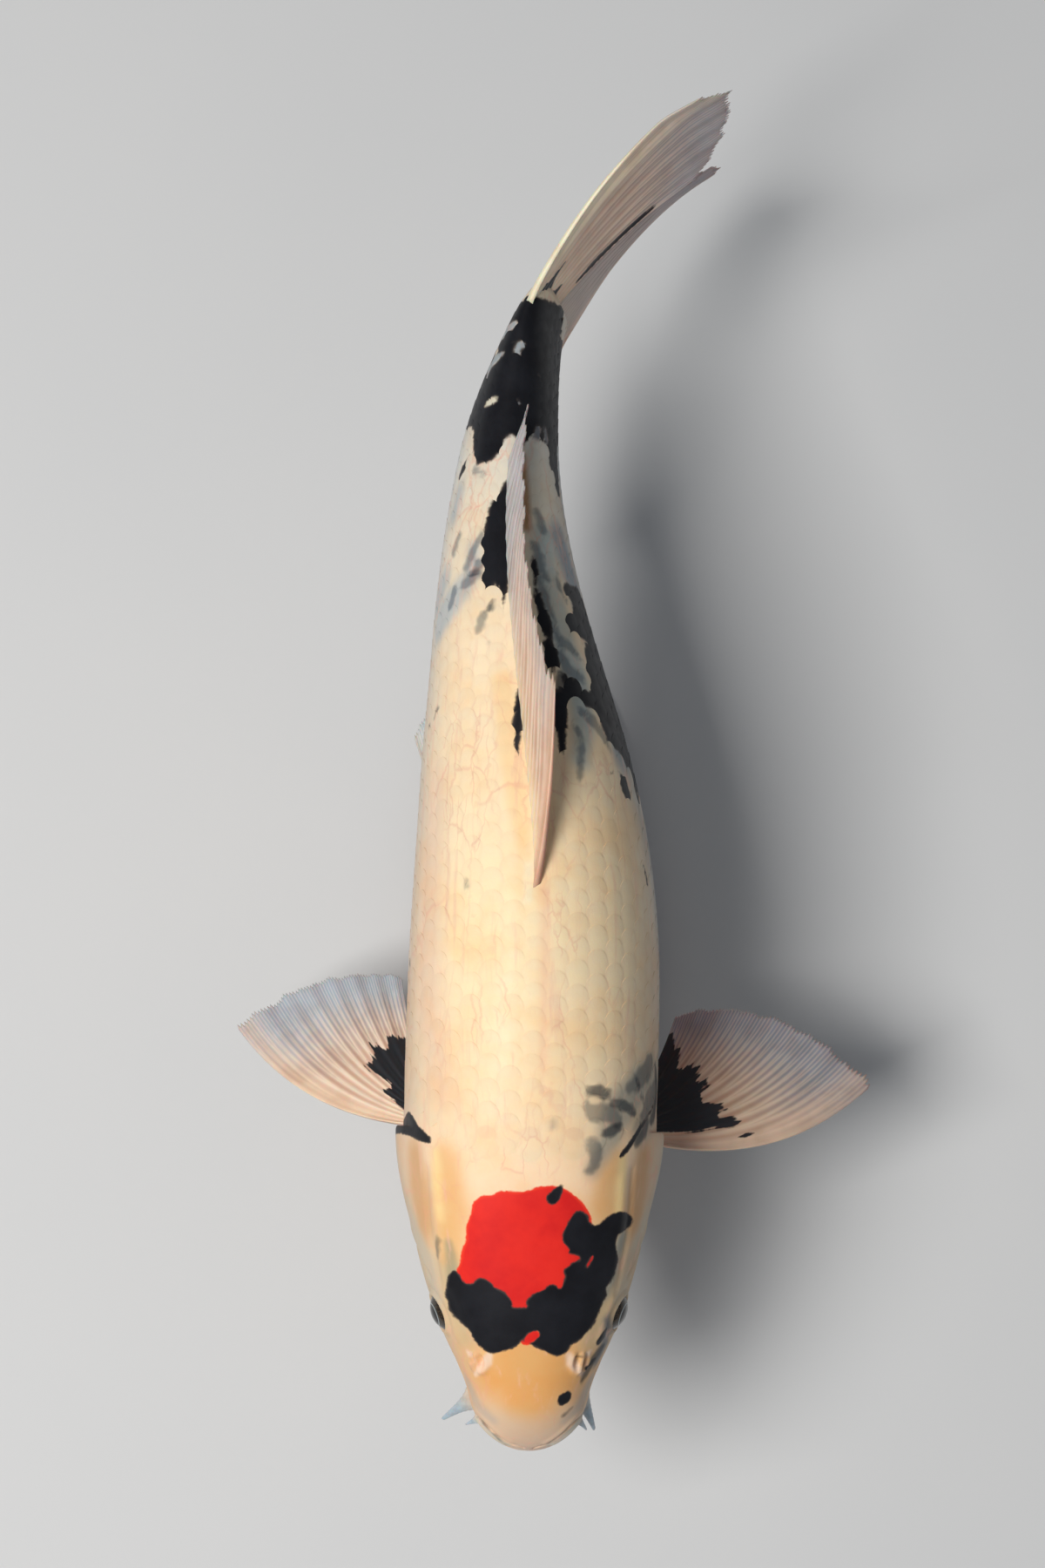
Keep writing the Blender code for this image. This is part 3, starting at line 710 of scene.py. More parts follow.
MIST = Marking(
    strokes=strokes(
        ((129, 20, 2), (126.4, 24, 3.8), (127.4, 30, 3), (124.4, 34, 2.6)),
        ((115.8, 22.5, 2.2), (113.2, 26, 3), (109, 26.5, 2.4), (105.8, 23, 1.6)),
        ((137, 39.5, 2.4), (141, 47, 4), (147, 57, 4.2)),
        ((127, 52, 3), (134, 58, 4.6), (138, 68, 4.6)),
        ((213.6, -23.6, 0.9), (210.2, -23.2, 1.2)),
        ((79.6, -44, 1.3), (76.4, -46.5, 2.1), (73.6, -48, 1.3)),
        ((351, -13, 0.9), (348, -14.2, 1.3)),
        ((346.4, -16, 1.2), (342, -19, 2), (337.6, -22, 1.7)),
        ((339, -14.6, 1.6), (337, -13.2, 1.2)),
        ((334.2, -14, 2), (333, -18, 2.8), (331, -23.5, 2.2)),
        ((317, -12, 1.9), (313, -14.5, 1.8)),
        ((330, -31, 2), (325, -34, 2.2)),
        ((352, -30, 1.6), (346, -35, 2)),
        ((376.4, -22, 1.3), (374.8, -15, 1.5)),
        ((306, -11, 0.5),),
        ((346, 13, 1.4), (341, 16.5, 2.8), (336, 15, 2.6), (331, 19, 1.6)),
        ((329, 14.5, 1.8), (324, 16, 2.6), (319, 16.5, 2), (313, 20, 1)),
        ((334, 27, 0.6), (327, 27, 1.3), (322, 31, 0.6)),
        ((311, 18, 1.4), (305, 20, 2.5), (302, 27, 1.8), (297, 33, 0.8)),
        ((299, 18.5, 2.4), (293, 22, 3), (290, 29, 1.8)),
        ((276, 24, 2), (272.5, 31, 2.6), (266, 36, 2), (260, 38, 1)),
        ((270, 20, 0.9), (264, 22, 1.6), (257, 20, 1.5), (250, 18, 0.8)),
        ((360, 18, 1.8), (352, 22, 2)),
    ),
)

WASHES = (
    # snout, lips and brow
    Wash((228, 172, 108), 0.9, 7, strokes(((24, 0, 11), (33, 0, 14)), ((28, -26, 5), (28, 26, 5)))),
    Wash((206, 200, 184), 0.9, 0.8, strokes(((2.2, 66, 1.8), (5, 71, 3), (8.2, 75, 3.4), (11, 84, 2.8),
        (13.6, 94, 1.6))), True),
    Wash((190, 176, 162), 0.7, 3, strokes(((12, 42, 1.5), (18, 58, 3), (26, 66, 3))), True),
    Wash((204, 180, 142), 0.8, 6, strokes(((44, 42, 4), (56, 43, 4), (68, 41, 5))), True),
    # gill covers
    Wash((232, 184, 122), 0.7, 6, strokes(((74, 39, 3), (83, 37, 5), (92, 35, 5), (102, 34, 5),
        (110, 36, 3))), True),
    Wash((232, 178, 118), 0.6, 8, strokes(((91, 29, 2), (100, 30, 3), (109, 31, 2))), True),
    # pale yellow along the ridge between skull and gill cover: partly its own colour, partly a painted highlight on
    # the ridge
    Wash((246, 218, 156), 0.85, 3.6, strokes(((88, 40, 0.6), (97, 40, 1.8), (106, 39, 1.6), (111, 39, 0.6))),
        True),
    Wash((210, 164, 118), 0.9, 6, strokes(((86, 54, 5), (98, 54, 7), (110, 55, 5))), True),
    Wash((196, 184, 164), 0.75, 5, strokes(((60, 62, 5), (70, 58, 5), (80, 68, 6), (96, 80, 6),
        (114, 82, 5))), True),
    # greenish grey on the left of the head: partly its own colour, partly painted shade of the side away from the
    # light
    Wash((146, 152, 144), 0.8, 4, strokes(((60, 43, 2), (70, 44, 3), (80, 46, 3)))),
    # nostrils
    Wash((244, 220, 202), 0.72, 1.2, strokes(((36.6, 27, 1), (34.8, 29, 2), (32.8, 33, 1.7), (30.8, 39, 1.1),
        (28.9, 46, 0.5)), ((34.8, 40.5, 0.7), (36.4, 42, 1.1), (37.6, 45, 0.6))), True),
    # painted shade along the outer edge of each nostril's flap
    Wash((196, 160, 136), 0.6, 1.4, strokes(((33.6, 42, 0.6), (31.4, 47, 0.8))), True),
    # grey along the temples, and in front of the left eye a grey that is partly painted shade
    Wash((168, 160, 132), 0.8, 2, strokes(((42, -29, 0.8), (46.5, -33, 1.6), (53, -38, 1.8), (60, -41, 2),
        (67, -40, 2.2), (72, -38, 2.4), (78, -38, 1.6)))),
    Wash((158, 158, 146), 0.8, 2, strokes(((44, 30, 0.8), (52, 36, 1.6), (60, 41, 2), (70, 43, 2.4),
        (80, 44, 1.6)))),
    # painted shade of the left side of the head in front of the eye, over a dusky grey of its own
    Wash((112, 116, 120), 0.9, 3, strokes(((34, 60, 2), (40, 62, 3.5), (46, 56, 2.6), (50, 50, 1.6)))),
    # grey cast of the left shoulder
    Wash((160, 156, 144), 0.8, 5, strokes(((106, 25, 2), (116, 30, 4), (128, 34, 7), (138, 46, 7),
        (146, 60, 5)), ((122, 50, 5), (134, 66, 8), (144, 78, 7)))),
    Wash((166, 158, 146), 0.7, 1.6, strokes(((122, 8, 1.2),))),
    # stripes down the middle of the back
    Wash((250, 200, 164), 0.55, 2, strokes(((142, 4, 1.2), (180, 3.4, 2), (214, 2.6, 1.2)))),
    Wash((244, 240, 214), 0.6, 1.6, strokes(((204, -2, 0.8), (216, -1.4, 1.8), (228, -1.4, 1.2)))),
    # warm flesh at the root of the dorsal fin
    Wash((250, 210, 158), 0.75, 3, strokes(((222, -2, 1.5), (240, -4, 3.5), (262, -5, 4.5),
        (290, -6, 3.5)))),
    # grey of the right side before the stalk
    Wash((176, 182, 186), 0.8, 5, strokes(((345, -18, 2), (337, -17, 3), (330, -24, 5), (325, -36, 7),
        (320, -50, 7)), ((336, -46, 5), (330, -62, 6)), ((370, -38, 3), (362, -42, 4)))),
    # grey of the left side, darker and bluer lower down where it is partly painted shade of the flank away from the
    # light
    Wash((174, 184, 182), 0.85, 5, strokes(((350, 22, 4), (330, 20, 6), (318, 21, 7), (305, 22, 7),
        (290, 26, 6), (272, 24, 5), (258, 20, 3)))),
    # grey pigment under the skin, made darker and bluer with painted shade
    Wash((132, 146, 158), 0.85, 6, strokes(((350, 38, 6), (332, 46, 8), (306, 54, 8), (286, 50, 8),
        (262, 50, 8)))),
    # painted shade over the lower left flank, which faces away from the light
    Wash((160, 168, 170), 0.6, 12, strokes(((262, 52, 4), (240, 62, 6), (216, 76, 8), (190, 88, 9),
        (160, 96, 8)))),
    # pink of the right side
    Wash((240, 200, 174), 0.55, 10, strokes(((134, -34, 5), (170, -44, 9), (215, -46, 9), (255, -42, 6)))),
    Wash((176, 126, 84), 0.9, 1.8, strokes(((382, 10, 0.8), (371, 10.5, 1.8), (360, 10.5, 2.2),
        (352, 11, 1.4)))),
    # dusky spots within the black of the stalk
    Wash((104, 108, 116), 0.95, 1, strokes(((405.8, 4, 1.4), (404.2, 6, 1.4)), ((395.4, 22, 2),
        (392.6, 20, 2)), ((396.8, 30, 2), (393, 31.5, 2)), ((418, 22, 1.6),))),
    Wash((150, 162, 172), 0.9, 1.2, strokes(((428, 1.5, 1.5), (428.8, 5, 1.6)), ((426.6, 0.4, 1.4),
        (425, 1.6, 1.6)), ((436, -8, 2), (432, -24, 3), (429, -33, 2)), ((424, -14, 2), (421, -29, 3),
        (416, -29, 2)))),
    Wash((222, 214, 192), 0.9, 1.2, strokes(((403.4, -20.5, 2), (405, -12.6, 2)))),
)


MARKINGS = {"red": RED, "black": BLACK, "dusk": DUSK_AND_SHADE, "mist": MIST}


class Paint:
    """The colours of the skin, laid alike on skin and scales."""

    # along, then display colours of the back, the side and the belly
    zones: tuple[tuple[float, Colour, Colour, Colour], ...] = (
        (0.000, (220, 190, 166), (228, 200, 176), (238, 224, 208)),
        (0.014, (222, 190, 156), (226, 190, 156), (238, 224, 208)),
        (0.028, (230, 180, 122), (226, 182, 136), (240, 226, 208)),
        (0.050, (240, 198, 146), (200, 180, 150), (240, 228, 214)),
        (0.085, (242, 202, 156), (200, 178, 148), (240, 230, 218)),
        (0.100, (250, 218, 182), (214, 186, 156), (240, 230, 218)),
        (0.130, (254, 222, 182), (216, 192, 168), (242, 232, 220)),
        (0.200, (255, 226, 184), (216, 194, 174), (242, 234, 224)),
        (0.300, (252, 224, 188), (208, 196, 182), (240, 232, 222)),
        (0.350, (240, 222, 196), (200, 198, 194), (238, 230, 222)),
        (0.400, (222, 214, 202), (196, 200, 202), (234, 228, 220)),
        (0.457, (226, 206, 180), (206, 194, 180), (226, 214, 198)),
    )

    def tint(self, along: Array, angle: Array, places: Array) -> Array:
        """The ground colour under the red and black, as rows of red, green and blue.

        Args:
            along, angle: the places, on the body.
            places: the same places, in the frame.

        Returns:
            The colours.
        """
        s = [zone[0] for zone in self.zones]
        back, side, belly = (
            np.stack([np.interp(along, s, [linear(*zone[k])[c] for zone in self.zones]) for c in range(3)], axis=-1)
            for k in (1, 2, 3)
        )
        round_ = np.abs(angle)
        to_side, to_belly = smoothstep(24, 78, round_)[:, None], smoothstep(100, 150, round_)[:, None]
        colour = blend(back, side, to_side)
        colour = blend(colour, belly, to_belly)
        mirrored = FORM.surface(along, -angle)
        for wash in WASHES:
            amount = wash.amount(along, places, mirrored)[:, None]
            colour = blend(colour, np.array(linear(*wash.colour)), amount)
        return np.clip(colour, 0, 1)


PAINT = Paint()


# Node graphs


class Graph:
    """Adds shader nodes to a material or a node group."""

    def __init__(self, tree: NodeTree) -> None:
        """Keeps the tree that nodes are added to."""
        self.tree = tree

    def node(self, kind: str, inputs: dict | None = None, **settings: object) -> Node:
        """Adds a node.

        Args:
            kind: its type.
            inputs: a value, or a socket to link, for each input by name or number.
            **settings: its properties.

        Returns:
            The node.
        """
        made = self.tree.nodes.new(kind)
        for key, value in settings.items():
            setattr(made, key, value)
        self.give(made, inputs or {})
        return made

    def give(self, node: Node, inputs: dict) -> None:
        """Links the sockets, or sets the values, that a node is given.

        Args:
            node: the node.
            inputs: a socket or value for each input, by name or number.
        """
        for key, value in inputs.items():
            if isinstance(value, NodeSocket):
                self.tree.links.new(value, node.inputs[key])
            else:
                node.inputs[key].default_value = value

    def math(self, operation: str, a: object, b: object = 0) -> NodeSocket:
        """A sum, product or other step on two numbers."""
        return self.node("ShaderNodeMath", {0: a, 1: b}, operation=operation).outputs[0]

    def times(self, a: object, b: object) -> NodeSocket:
        """The product of two numbers."""
        return self.math("MULTIPLY", a, b)

    def plus(self, a: object, b: object) -> NodeSocket:
        """The sum of two numbers."""
        return self.math("ADD", a, b)

    def mix(self, amount: object, a: object, b: object, blend: str = "MIX") -> NodeSocket:
        """Colour a with an amount of b laid over it.

        Args:
            amount, a, b: sockets or values.
            blend: how b is laid over a.

        Returns:
            The socket of the mixed colour.
        """
        a, b = ((*c, 1) if isinstance(c, tuple) and len(c) == 3 else c for c in (a, b))
        mixer = self.node("ShaderNodeMix", {0: amount, 6: a, 7: b}, data_type="RGBA", blend_type=blend)
        return mixer.outputs[2]

    def attribute(self, name: str, colour: bool = False) -> NodeSocket:
        """A number or colour stored on the mesh."""
        made = self.node("ShaderNodeAttribute", attribute_name=name)
        return made.outputs["Color" if colour else "Fac"]

    def place(self) -> NodeSocket:
        """Object coordinates."""
        return self.node("ShaderNodeTexCoord").outputs["Object"]

    def noise(self, place: object, scale: float, detail: float = 2.0, rough: float = 0.5) -> NodeSocket:
        """A smooth random pattern between 0 and 1."""
        inputs = {"Vector": place, "Scale": scale, "Detail": detail, "Roughness": rough}
        return self.node("ShaderNodeTexNoise", inputs).outputs["Fac"]

    def worn(self, colour: object, scale: float, amount: float, bare: Colour) -> NodeSocket:
        """Colour with fine scratches of a bare colour, for the stand."""
        wear = self.node("ShaderNodeGroup", {"Scratch scale": scale, "Amount": amount}, node_tree=EFFECTS.wear)
        return self.mix(wear.outputs["Mask"], colour, bare)

    def rise(self, value: object, low: float, high: float, to: tuple = (0.0, 1.0)) -> NodeSocket:
        """A smooth step of a value.

        Args:
            value: a socket or number.
            low, high: where the step starts and ends.
            to: what it rises from and to.

        Returns:
            The socket of the step.
        """
        inputs = {0: value, 1: low, 2: high, 3: to[0], 4: to[1]}
        made = self.node("ShaderNodeMapRange", inputs, interpolation_type="SMOOTHSTEP")
        return made.outputs[0]


def new_group(name: str, inputs: dict, outputs: dict) -> tuple[NodeTree, Graph, dict, dict]:
    """A node group with named sockets.

    Args:
        name: the group's name.
        inputs: each input's name with its default number or colour.
        outputs: each output's name with True for a colour.

    Returns:
        The group, its graph, its input sockets and its output sockets by name.
    """
    tree = bpy.data.node_groups.new(name, "ShaderNodeTree")
    for key, value in inputs.items():
        kind = "NodeSocketColor" if isinstance(value, tuple) else "NodeSocketFloat"
        socket = tree.interface.new_socket(key, in_out="INPUT", socket_type=kind)
        socket.default_value = (*value, 1) if isinstance(value, tuple) else value
    for key, colour in outputs.items():
        tree.interface.new_socket(key, in_out="OUTPUT", socket_type="NodeSocketColor" if colour else "NodeSocketFloat")
    graph = Graph(tree)
    start, end = graph.node("NodeGroupInput"), graph.node("NodeGroupOutput")
    return tree, graph, {key: start.outputs[key] for key in inputs}, {key: end.inputs[key] for key in outputs}


class Effects:
    """Node groups that more than one finish uses."""

    @cached_property
    def marks(self) -> NodeTree:
        """Ground colour with red and black laid over it, edges broken as in living skin.

        Returns:
            The group.
        """
        tree, g, given, out = new_group(
            "koi_marks",
            {
                "Ground": (0.8, 0.7, 0.5), "Red": OUTSIDE, "Black": OUTSIDE, "Dusk": OUTSIDE, "Mist": OUTSIDE,
                "Raggedness": 1.0, "Veins": 0.5,
            },
            {"Colour": True, "Roughness": False, "Height": False},
        )
        place = g.place()
        fine, broad = g.noise(place, 620, 3), g.noise(place, 170, 2)
        ragged = g.plus(g.math("SUBTRACT", fine, 0.5), g.times(g.math("SUBTRACT", broad, 0.5), 1.4))
        ragged = g.times(ragged, given["Raggedness"])
        red = g.rise(g.plus(given["Red"], ragged), -0.4, 0.4)
        black = g.rise(g.plus(given["Black"], ragged), -0.35, 0.45)
        cloud = g.noise(place, 38, 4, 0.6)
        ground = g.mix(g.rise(cloud, 0.4, 0.72), given["Ground"], (1, 0.9, 0.8), "MULTIPLY")
        drawn = g.node("ShaderNodeMapping", {"Vector": place, "Scale": (1, 0.1, 1)}).outputs[0]
        seams = g.rise(g.noise(drawn, 230, 3, 0.6), 0.56, 0.74)
        ground = g.mix(g.times(seams, given["Veins"]), ground, (0.86, 0.5, 0.36))
        bent = g.node("ShaderNodeTexNoise", {"Vector": place, "Scale": 110, "Detail": 3}).outputs["Color"]
        bent = g.node("ShaderNodeVectorMath", {0: bent, 1: (0.007, 0.007, 0.007)}, operation="MULTIPLY").outputs[0]
        bent = g.node("ShaderNodeVectorMath", {0: place, 1: bent}, operation="ADD").outputs[0]
        tall = g.node("ShaderNodeMapping", {"Vector": bent, "Scale": (1, 0.3, 1)}).outputs[0]
        for scale, width, low, spots in ((62, 0.034, 0.44, 26), (140, 0.05, 0.5, 44)):
            veins = g.node("ShaderNodeTexVoronoi", {"Vector": tall, "Scale": scale}, feature="DISTANCE_TO_EDGE")
            thread = g.rise(veins.outputs["Distance"], width, 0)
            thread = g.times(thread, g.rise(g.noise(place, spots, 2), low, low + 0.2, (0, 0.75)))
            ground = g.mix(g.times(thread, given["Veins"]), ground, (0.8, 0.36, 0.26))
        blotch = g.times(g.math("SUBTRACT", g.noise(place, 210, 1), 0.5), 3.6)
        blotch = g.times(blotch, g.rise(given["Dusk"], -0.2, 0.3, (1, 0.3)))
        # Dusk carries deep pigment and also some painted shade, both darkened here alike
        for name, deep in (("Mist", (0.38, 0.43, 0.5)), ("Dusk", (0.11, 0.15, 0.21))):
            amount = g.rise(g.plus(given[name], blotch), -1.3, 1.1)
            ground = g.mix(g.times(amount, 0.88), ground, deep, "MULTIPLY")
        red_colour = g.mix(g.rise(cloud, 0.35, 0.7), linear(234, 50, 42), linear(214, 38, 38))
        red_colour = g.mix(g.rise(given["Red"], 1.4, 0.2), red_colour, linear(240, 62, 44))
        colour = g.mix(red, ground, red_colour)
        black_colour = g.mix(g.rise(cloud, 0.3, 0.7), linear(26, 26, 30), linear(36, 37, 42))
        black_colour = g.mix(g.rise(given["Black"], 0, 1), linear(66, 60, 58), black_colour)
        colour = g.mix(black, colour, black_colour)
        pores = g.noise(place, 1500, 2)
        tree.links.new(colour, out["Colour"])
        tree.links.new(g.rise(broad, 0.2, 0.8, (0.42, 0.54)), out["Roughness"])
        tree.links.new(g.plus(g.times(pores, 0.5), g.times(fine, 0.5)), out["Height"])
        return tree

    @cached_property
    def wear(self) -> NodeTree:
        """Fine scratches for the parts of the stand.

        Returns:
            The group.
        """
        tree, g, given, out = new_group(
            "stand_wear", {"Scratch scale": 300.0, "Amount": 0.5}, {"Mask": False, "Height": False}
        )
        place = g.place()
        stretched = g.node("ShaderNodeMapping", {"Vector": place, "Scale": (1, 0.08, 1)}).outputs[0]
        inputs = {"Vector": stretched, "Scale": given["Scratch scale"], "Detail": 3}
        lines = g.node("ShaderNodeTexNoise", inputs).outputs["Fac"]
        mask = g.times(g.rise(lines, 0.58, 0.72), given["Amount"])
        tree.links.new(mask, out["Mask"])
        tree.links.new(lines, out["Height"])
        return tree


EFFECTS = Effects()


# Finishes


def bump(g: Graph, height: object, strength: float, distance: float) -> NodeSocket:
    """A normal bent by a height."""
    return g.node("ShaderNodeBump", {"Strength": strength, "Distance": distance, "Height": height}).outputs["Normal"]


@dataclass(frozen=True)
class Finish:
    """A surface. Each kind of finish says what its shader is given."""

    name: str

    def inputs(self, g: Graph) -> dict[str, object]:
        """A socket to link, or a plain value, for inputs of the shader."""
        raise NotImplementedError

    def build(self) -> Material:
        """Makes the material.

        Returns:
            The material.
        """
        made = bpy.data.materials.new(self.name)
        made.use_nodes = True
        g = Graph(made.node_tree)
        g.give(made.node_tree.nodes["Principled BSDF"], self.inputs(g))
        return made


@dataclass(frozen=True)
class SkinFinish(Finish):
    """Wet, smooth skin with its markings."""

    net: float = 0.0  # how strongly the edges of scales show
    raggedness: float = 1.0
    veins: float = 0.46

    def inputs(self, g: Graph) -> dict[str, object]:
        """Colours by the mesh's tint, red, black, dusk, mist and net.

        Args:
            g: the material's graph.

        Returns:
            What its shader is given.
        """
        given = {name.capitalize(): g.attribute(name) for name in MARKINGS}
        given |= {"Ground": g.attribute("tint", True), "Raggedness": self.raggedness, "Veins": self.veins}
        marks = g.node("ShaderNodeGroup", given, node_tree=EFFECTS.marks)
        colour = marks.outputs["Colour"]
        if self.net:
            amount = g.times(g.attribute("net"), self.net)
            colour = g.mix(amount, colour, (0.82, 0.66, 0.56), "MULTIPLY")
        return {
            "Base Color": colour, "Roughness": marks.outputs["Roughness"],
            "Normal": bump(g, marks.outputs["Height"], 0.25, 0.0002), "Specular IOR Level": 0.16,
            "Coat Weight": 0.03, "Coat Roughness": 0.18, "Subsurface Weight": 0.1, "Subsurface Scale": 0.004,
        }


@dataclass(frozen=True)
class FinFinish(Finish):
    """Thin membrane between fine rays."""

    def inputs(self, g: Graph) -> dict[str, object]:
        """Colours by the mesh's tint and black, see-through by its clear.

        Args:
            g: the material's graph.

        Returns:
            What its shader is given.
        """
        place = g.place()
        cloud = g.noise(place, 90, 3)
        colour = g.mix(g.rise(cloud, 0.35, 0.75), g.attribute("tint", True), (0.86, 0.84, 0.82), "MULTIPLY")
        ragged = g.times(g.math("SUBTRACT", g.noise(place, 500, 3), 0.5), 1.6)
        black = g.rise(g.plus(g.attribute("black"), ragged), -0.3, 0.5)
        return {
            "Base Color": g.mix(black, colour, linear(42, 44, 48)), "Roughness": 0.42,
            "Alpha": g.math("MAXIMUM", g.attribute("clear"), g.times(black, 0.97)),
            "Normal": bump(g, g.noise(place, 900, 3), 0.2, 0.0002), "Specular IOR Level": 0.3,
            "Coat Weight": 0.1, "Coat Roughness": 0.2, "Subsurface Weight": 0.45, "Subsurface Scale": 0.003,
        }


@dataclass(frozen=True)
class EyeFinish(Finish):
    """A dark wet eye with a thin pale ring round its pupil."""

    def inputs(self, g: Graph) -> dict[str, object]:
        """Colours by the mesh's gaze, in degrees from the eye's axis.

        Args:
            g: the material's graph.

        Returns:
            What its shader is given.
        """
        gaze, flecks = g.attribute("gaze"), g.noise(g.place(), 1400, 4, 0.7)
        iris = g.mix(g.rise(flecks, 0.35, 0.7), linear(30, 27, 26), linear(74, 62, 46))
        colour = g.mix(g.rise(gaze, 23.4, 24.4), linear(6, 7, 9), linear(150, 158, 160))
        colour = g.mix(g.rise(gaze, 25.5, 27), colour, iris)
        return {
            "Base Color": g.mix(g.rise(gaze, 38, 44), colour, linear(12, 14, 18)), "Roughness": 0.12,
            "Normal": bump(g, flecks, 0.1, 0.0001), "Specular IOR Level": 0.25,
            "Coat Weight": 0.5, "Coat Roughness": 0.03,
        }


@dataclass(frozen=True)
class BarbelFinish(Finish):
    """Pale, slightly blue, translucent flesh."""

    def inputs(self, g: Graph) -> dict[str, object]:
        """Colours by the mesh's tip, 0 at the root and 1 at the tip.

        Args:
            g: the material's graph.

        Returns:
            What its shader is given.
        """
        cloud = g.noise(g.place(), 500, 3)
        colour = g.mix(g.rise(g.attribute("tip"), 0, 0.6), linear(214, 192, 166), linear(168, 186, 198))
        return {
            "Base Color": g.mix(g.rise(cloud, 0.3, 0.8), colour, (0.84, 0.82, 0.8), "MULTIPLY"),
            "Normal": bump(g, cloud, 0.3, 0.0002), "Roughness": 0.3, "Coat Weight": 0.4,
            "Subsurface Weight": 0.2, "Subsurface Scale": 0.003,
        }


@dataclass(frozen=True)
class WalnutFinish(Finish):
    """Oiled walnut, with its grain along the plinth."""

    name: str = "walnut_oiled"

    def inputs(self, g: Graph) -> dict[str, object]:
        """Growth rings, pores and wear.

        Args:
            g: the material's graph.

        Returns:
            What its shader is given.
        """
        along = g.node("ShaderNodeMapping", {"Vector": g.place(), "Scale": (1, 0.1, 1)}).outputs[0]
        warp = g.noise(along, 28, 3)
        rings = g.node("ShaderNodeTexWave", {"Vector": along, "Scale": 34, "Distortion": 5, "Detail": 3})
        pores = g.noise(along, 900, 3, 0.7)
        colour = g.mix(rings.outputs["Fac"], linear(72, 44, 28), linear(112, 72, 46))
        colour = g.mix(g.rise(warp, 0.35, 0.7), colour, (0.62, 0.56, 0.52), "MULTIPLY")
        colour = g.mix(g.rise(pores, 0.62, 0.75), colour, linear(40, 24, 16))
        return {
            "Base Color": g.worn(colour, 240, 0.25, linear(138, 100, 70)),
            "Roughness": g.rise(pores, 0.3, 0.8, (0.34, 0.55)), "Normal": bump(g, pores, 0.35, 0.0002),
            "Coat Weight": 0.2, "Coat Roughness": 0.25,
        }


@dataclass(frozen=True)
class SteelFinish(Finish):
    """Brushed stainless steel."""

    name: str = "steel_brushed"

    def inputs(self, g: Graph) -> dict[str, object]:
        """Fine lines round the rods, and wear.

        Args:
            g: the material's graph.

        Returns:
            What its shader is given.
        """
        fine = g.node("ShaderNodeMapping", {"Vector": g.place(), "Scale": (0.06, 0.06, 1)}).outputs[0]
        brushed = g.noise(fine, 5200, 2)
        colour = g.mix(g.rise(brushed, 0.3, 0.7), linear(176, 178, 180), linear(204, 205, 206))
        return {
            "Base Color": g.worn(colour, 420, 0.3, linear(150, 150, 152)), "Metallic": 1,
            "Roughness": g.rise(brushed, 0.2, 0.8, (0.24, 0.4)), "Normal": bump(g, brushed, 0.2, 0.0001),
        }


@dataclass(frozen=True)
class RubberFinish(Finish):
    """Matt dark rubber."""

    name: str = "rubber_pad"

    def inputs(self, g: Graph) -> dict[str, object]:
        """A fine grain, and wear.

        Args:
            g: the material's graph.

        Returns:
            What its shader is given.
        """
        grain = g.noise(g.place(), 1800, 3, 0.6)
        colour = g.mix(g.rise(grain, 0.3, 0.7), linear(48, 49, 52), linear(62, 63, 66))
        return {
            "Base Color": g.worn(colour, 380, 0.4, linear(92, 92, 94)),
            "Roughness": g.rise(grain, 0.2, 0.8, (0.66, 0.84)), "Normal": bump(g, grain, 0.5, 0.0002),
        }


@dataclass(frozen=True)
class PaperFinish(Finish):
    """The studio's pale paper."""

    name: str = "studio_paper"

    def inputs(self, g: Graph) -> dict[str, object]:
        """A very faint cloud over the paper."""
        colour = g.mix(g.noise(g.place(), 6, 3), linear(208, 210, 212), linear(213, 214, 215))
        return {"Base Color": colour, "Roughness": 0.9}


# Meshes


def mesh_of(bm: BMesh, name: str) -> Mesh:
    """A smooth mesh from a bmesh, which it frees.

    Args:
        bm: the bmesh.
        name: the mesh's name.

    Returns:
        The mesh.
    """
    mesh = bpy.data.meshes.new(name)
    bm.to_mesh(mesh)
    bm.free()
    mesh.shade_smooth()
    return mesh


def sharpened(mesh: Mesh, degrees: float = 35.0) -> Mesh:
    """Marks edges bent by more than some degrees as sharp."""
    mesh.set_sharp_from_angle(angle=math.radians(degrees))
    return mesh


def coordinates(mesh: Mesh) -> Array:
    """The mesh's points as rows.

    Args:
        mesh: the mesh.

    Returns:
        Rows of x, y and z.
    """
    flat = np.empty(len(mesh.vertices) * 3, dtype=np.float32)
    mesh.vertices.foreach_get("co", flat)
    return flat.reshape(-1, 3).astype(float)


def move(mesh: Mesh, places: Array) -> None:
    """Sets the mesh's points."""
    mesh.vertices.foreach_set("co", places.astype(np.float32).ravel())
    mesh.update()


def store(mesh: Mesh, name: str, values: Array) -> None:
    """Keeps a number, or a row of red, green and blue, for each point.

    Args:
        mesh: the mesh.
        name: the name to keep it by.
        values: the numbers or rows.
    """
    if values.ndim == 1:
        mesh.attributes.new(name, "FLOAT", "POINT").data.foreach_set("value", values.astype(np.float32))
        return
    rows = np.concatenate([values, np.ones((len(values), 1))], axis=1).astype(np.float32)
    mesh.attributes.new(name, "FLOAT_COLOR", "POINT").data.foreach_set("color", rows.ravel())


def kept(mesh: Mesh, name: str) -> Array:
    """Numbers kept for each point.

    Args:
        mesh: the mesh.
        name: the name they are kept by.

    Returns:
        The numbers.
    """
    values = np.empty(len(mesh.vertices), dtype=np.float32)
    mesh.attributes[name].data.foreach_get("value", values)
    return values.astype(float)


def corner_points(mesh: Mesh) -> Array:
    """The point that each corner of each face is on.

    Args:
        mesh: the mesh.

    Returns:
        The points' numbers.
    """
    corners = np.empty(len(mesh.loops), dtype=np.int32)
    mesh.loops.foreach_get("vertex_index", corners)
    return corners


def lay_map(mesh: Mesh, corners: Array) -> None:
    """Sets the map used for baking, one row for each face corner."""
    layer = mesh.uv_layers.get(BAKE_MAP) or mesh.uv_layers.new(name=BAKE_MAP)
    layer.uv.foreach_set("vector", corners.astype(np.float32).ravel())


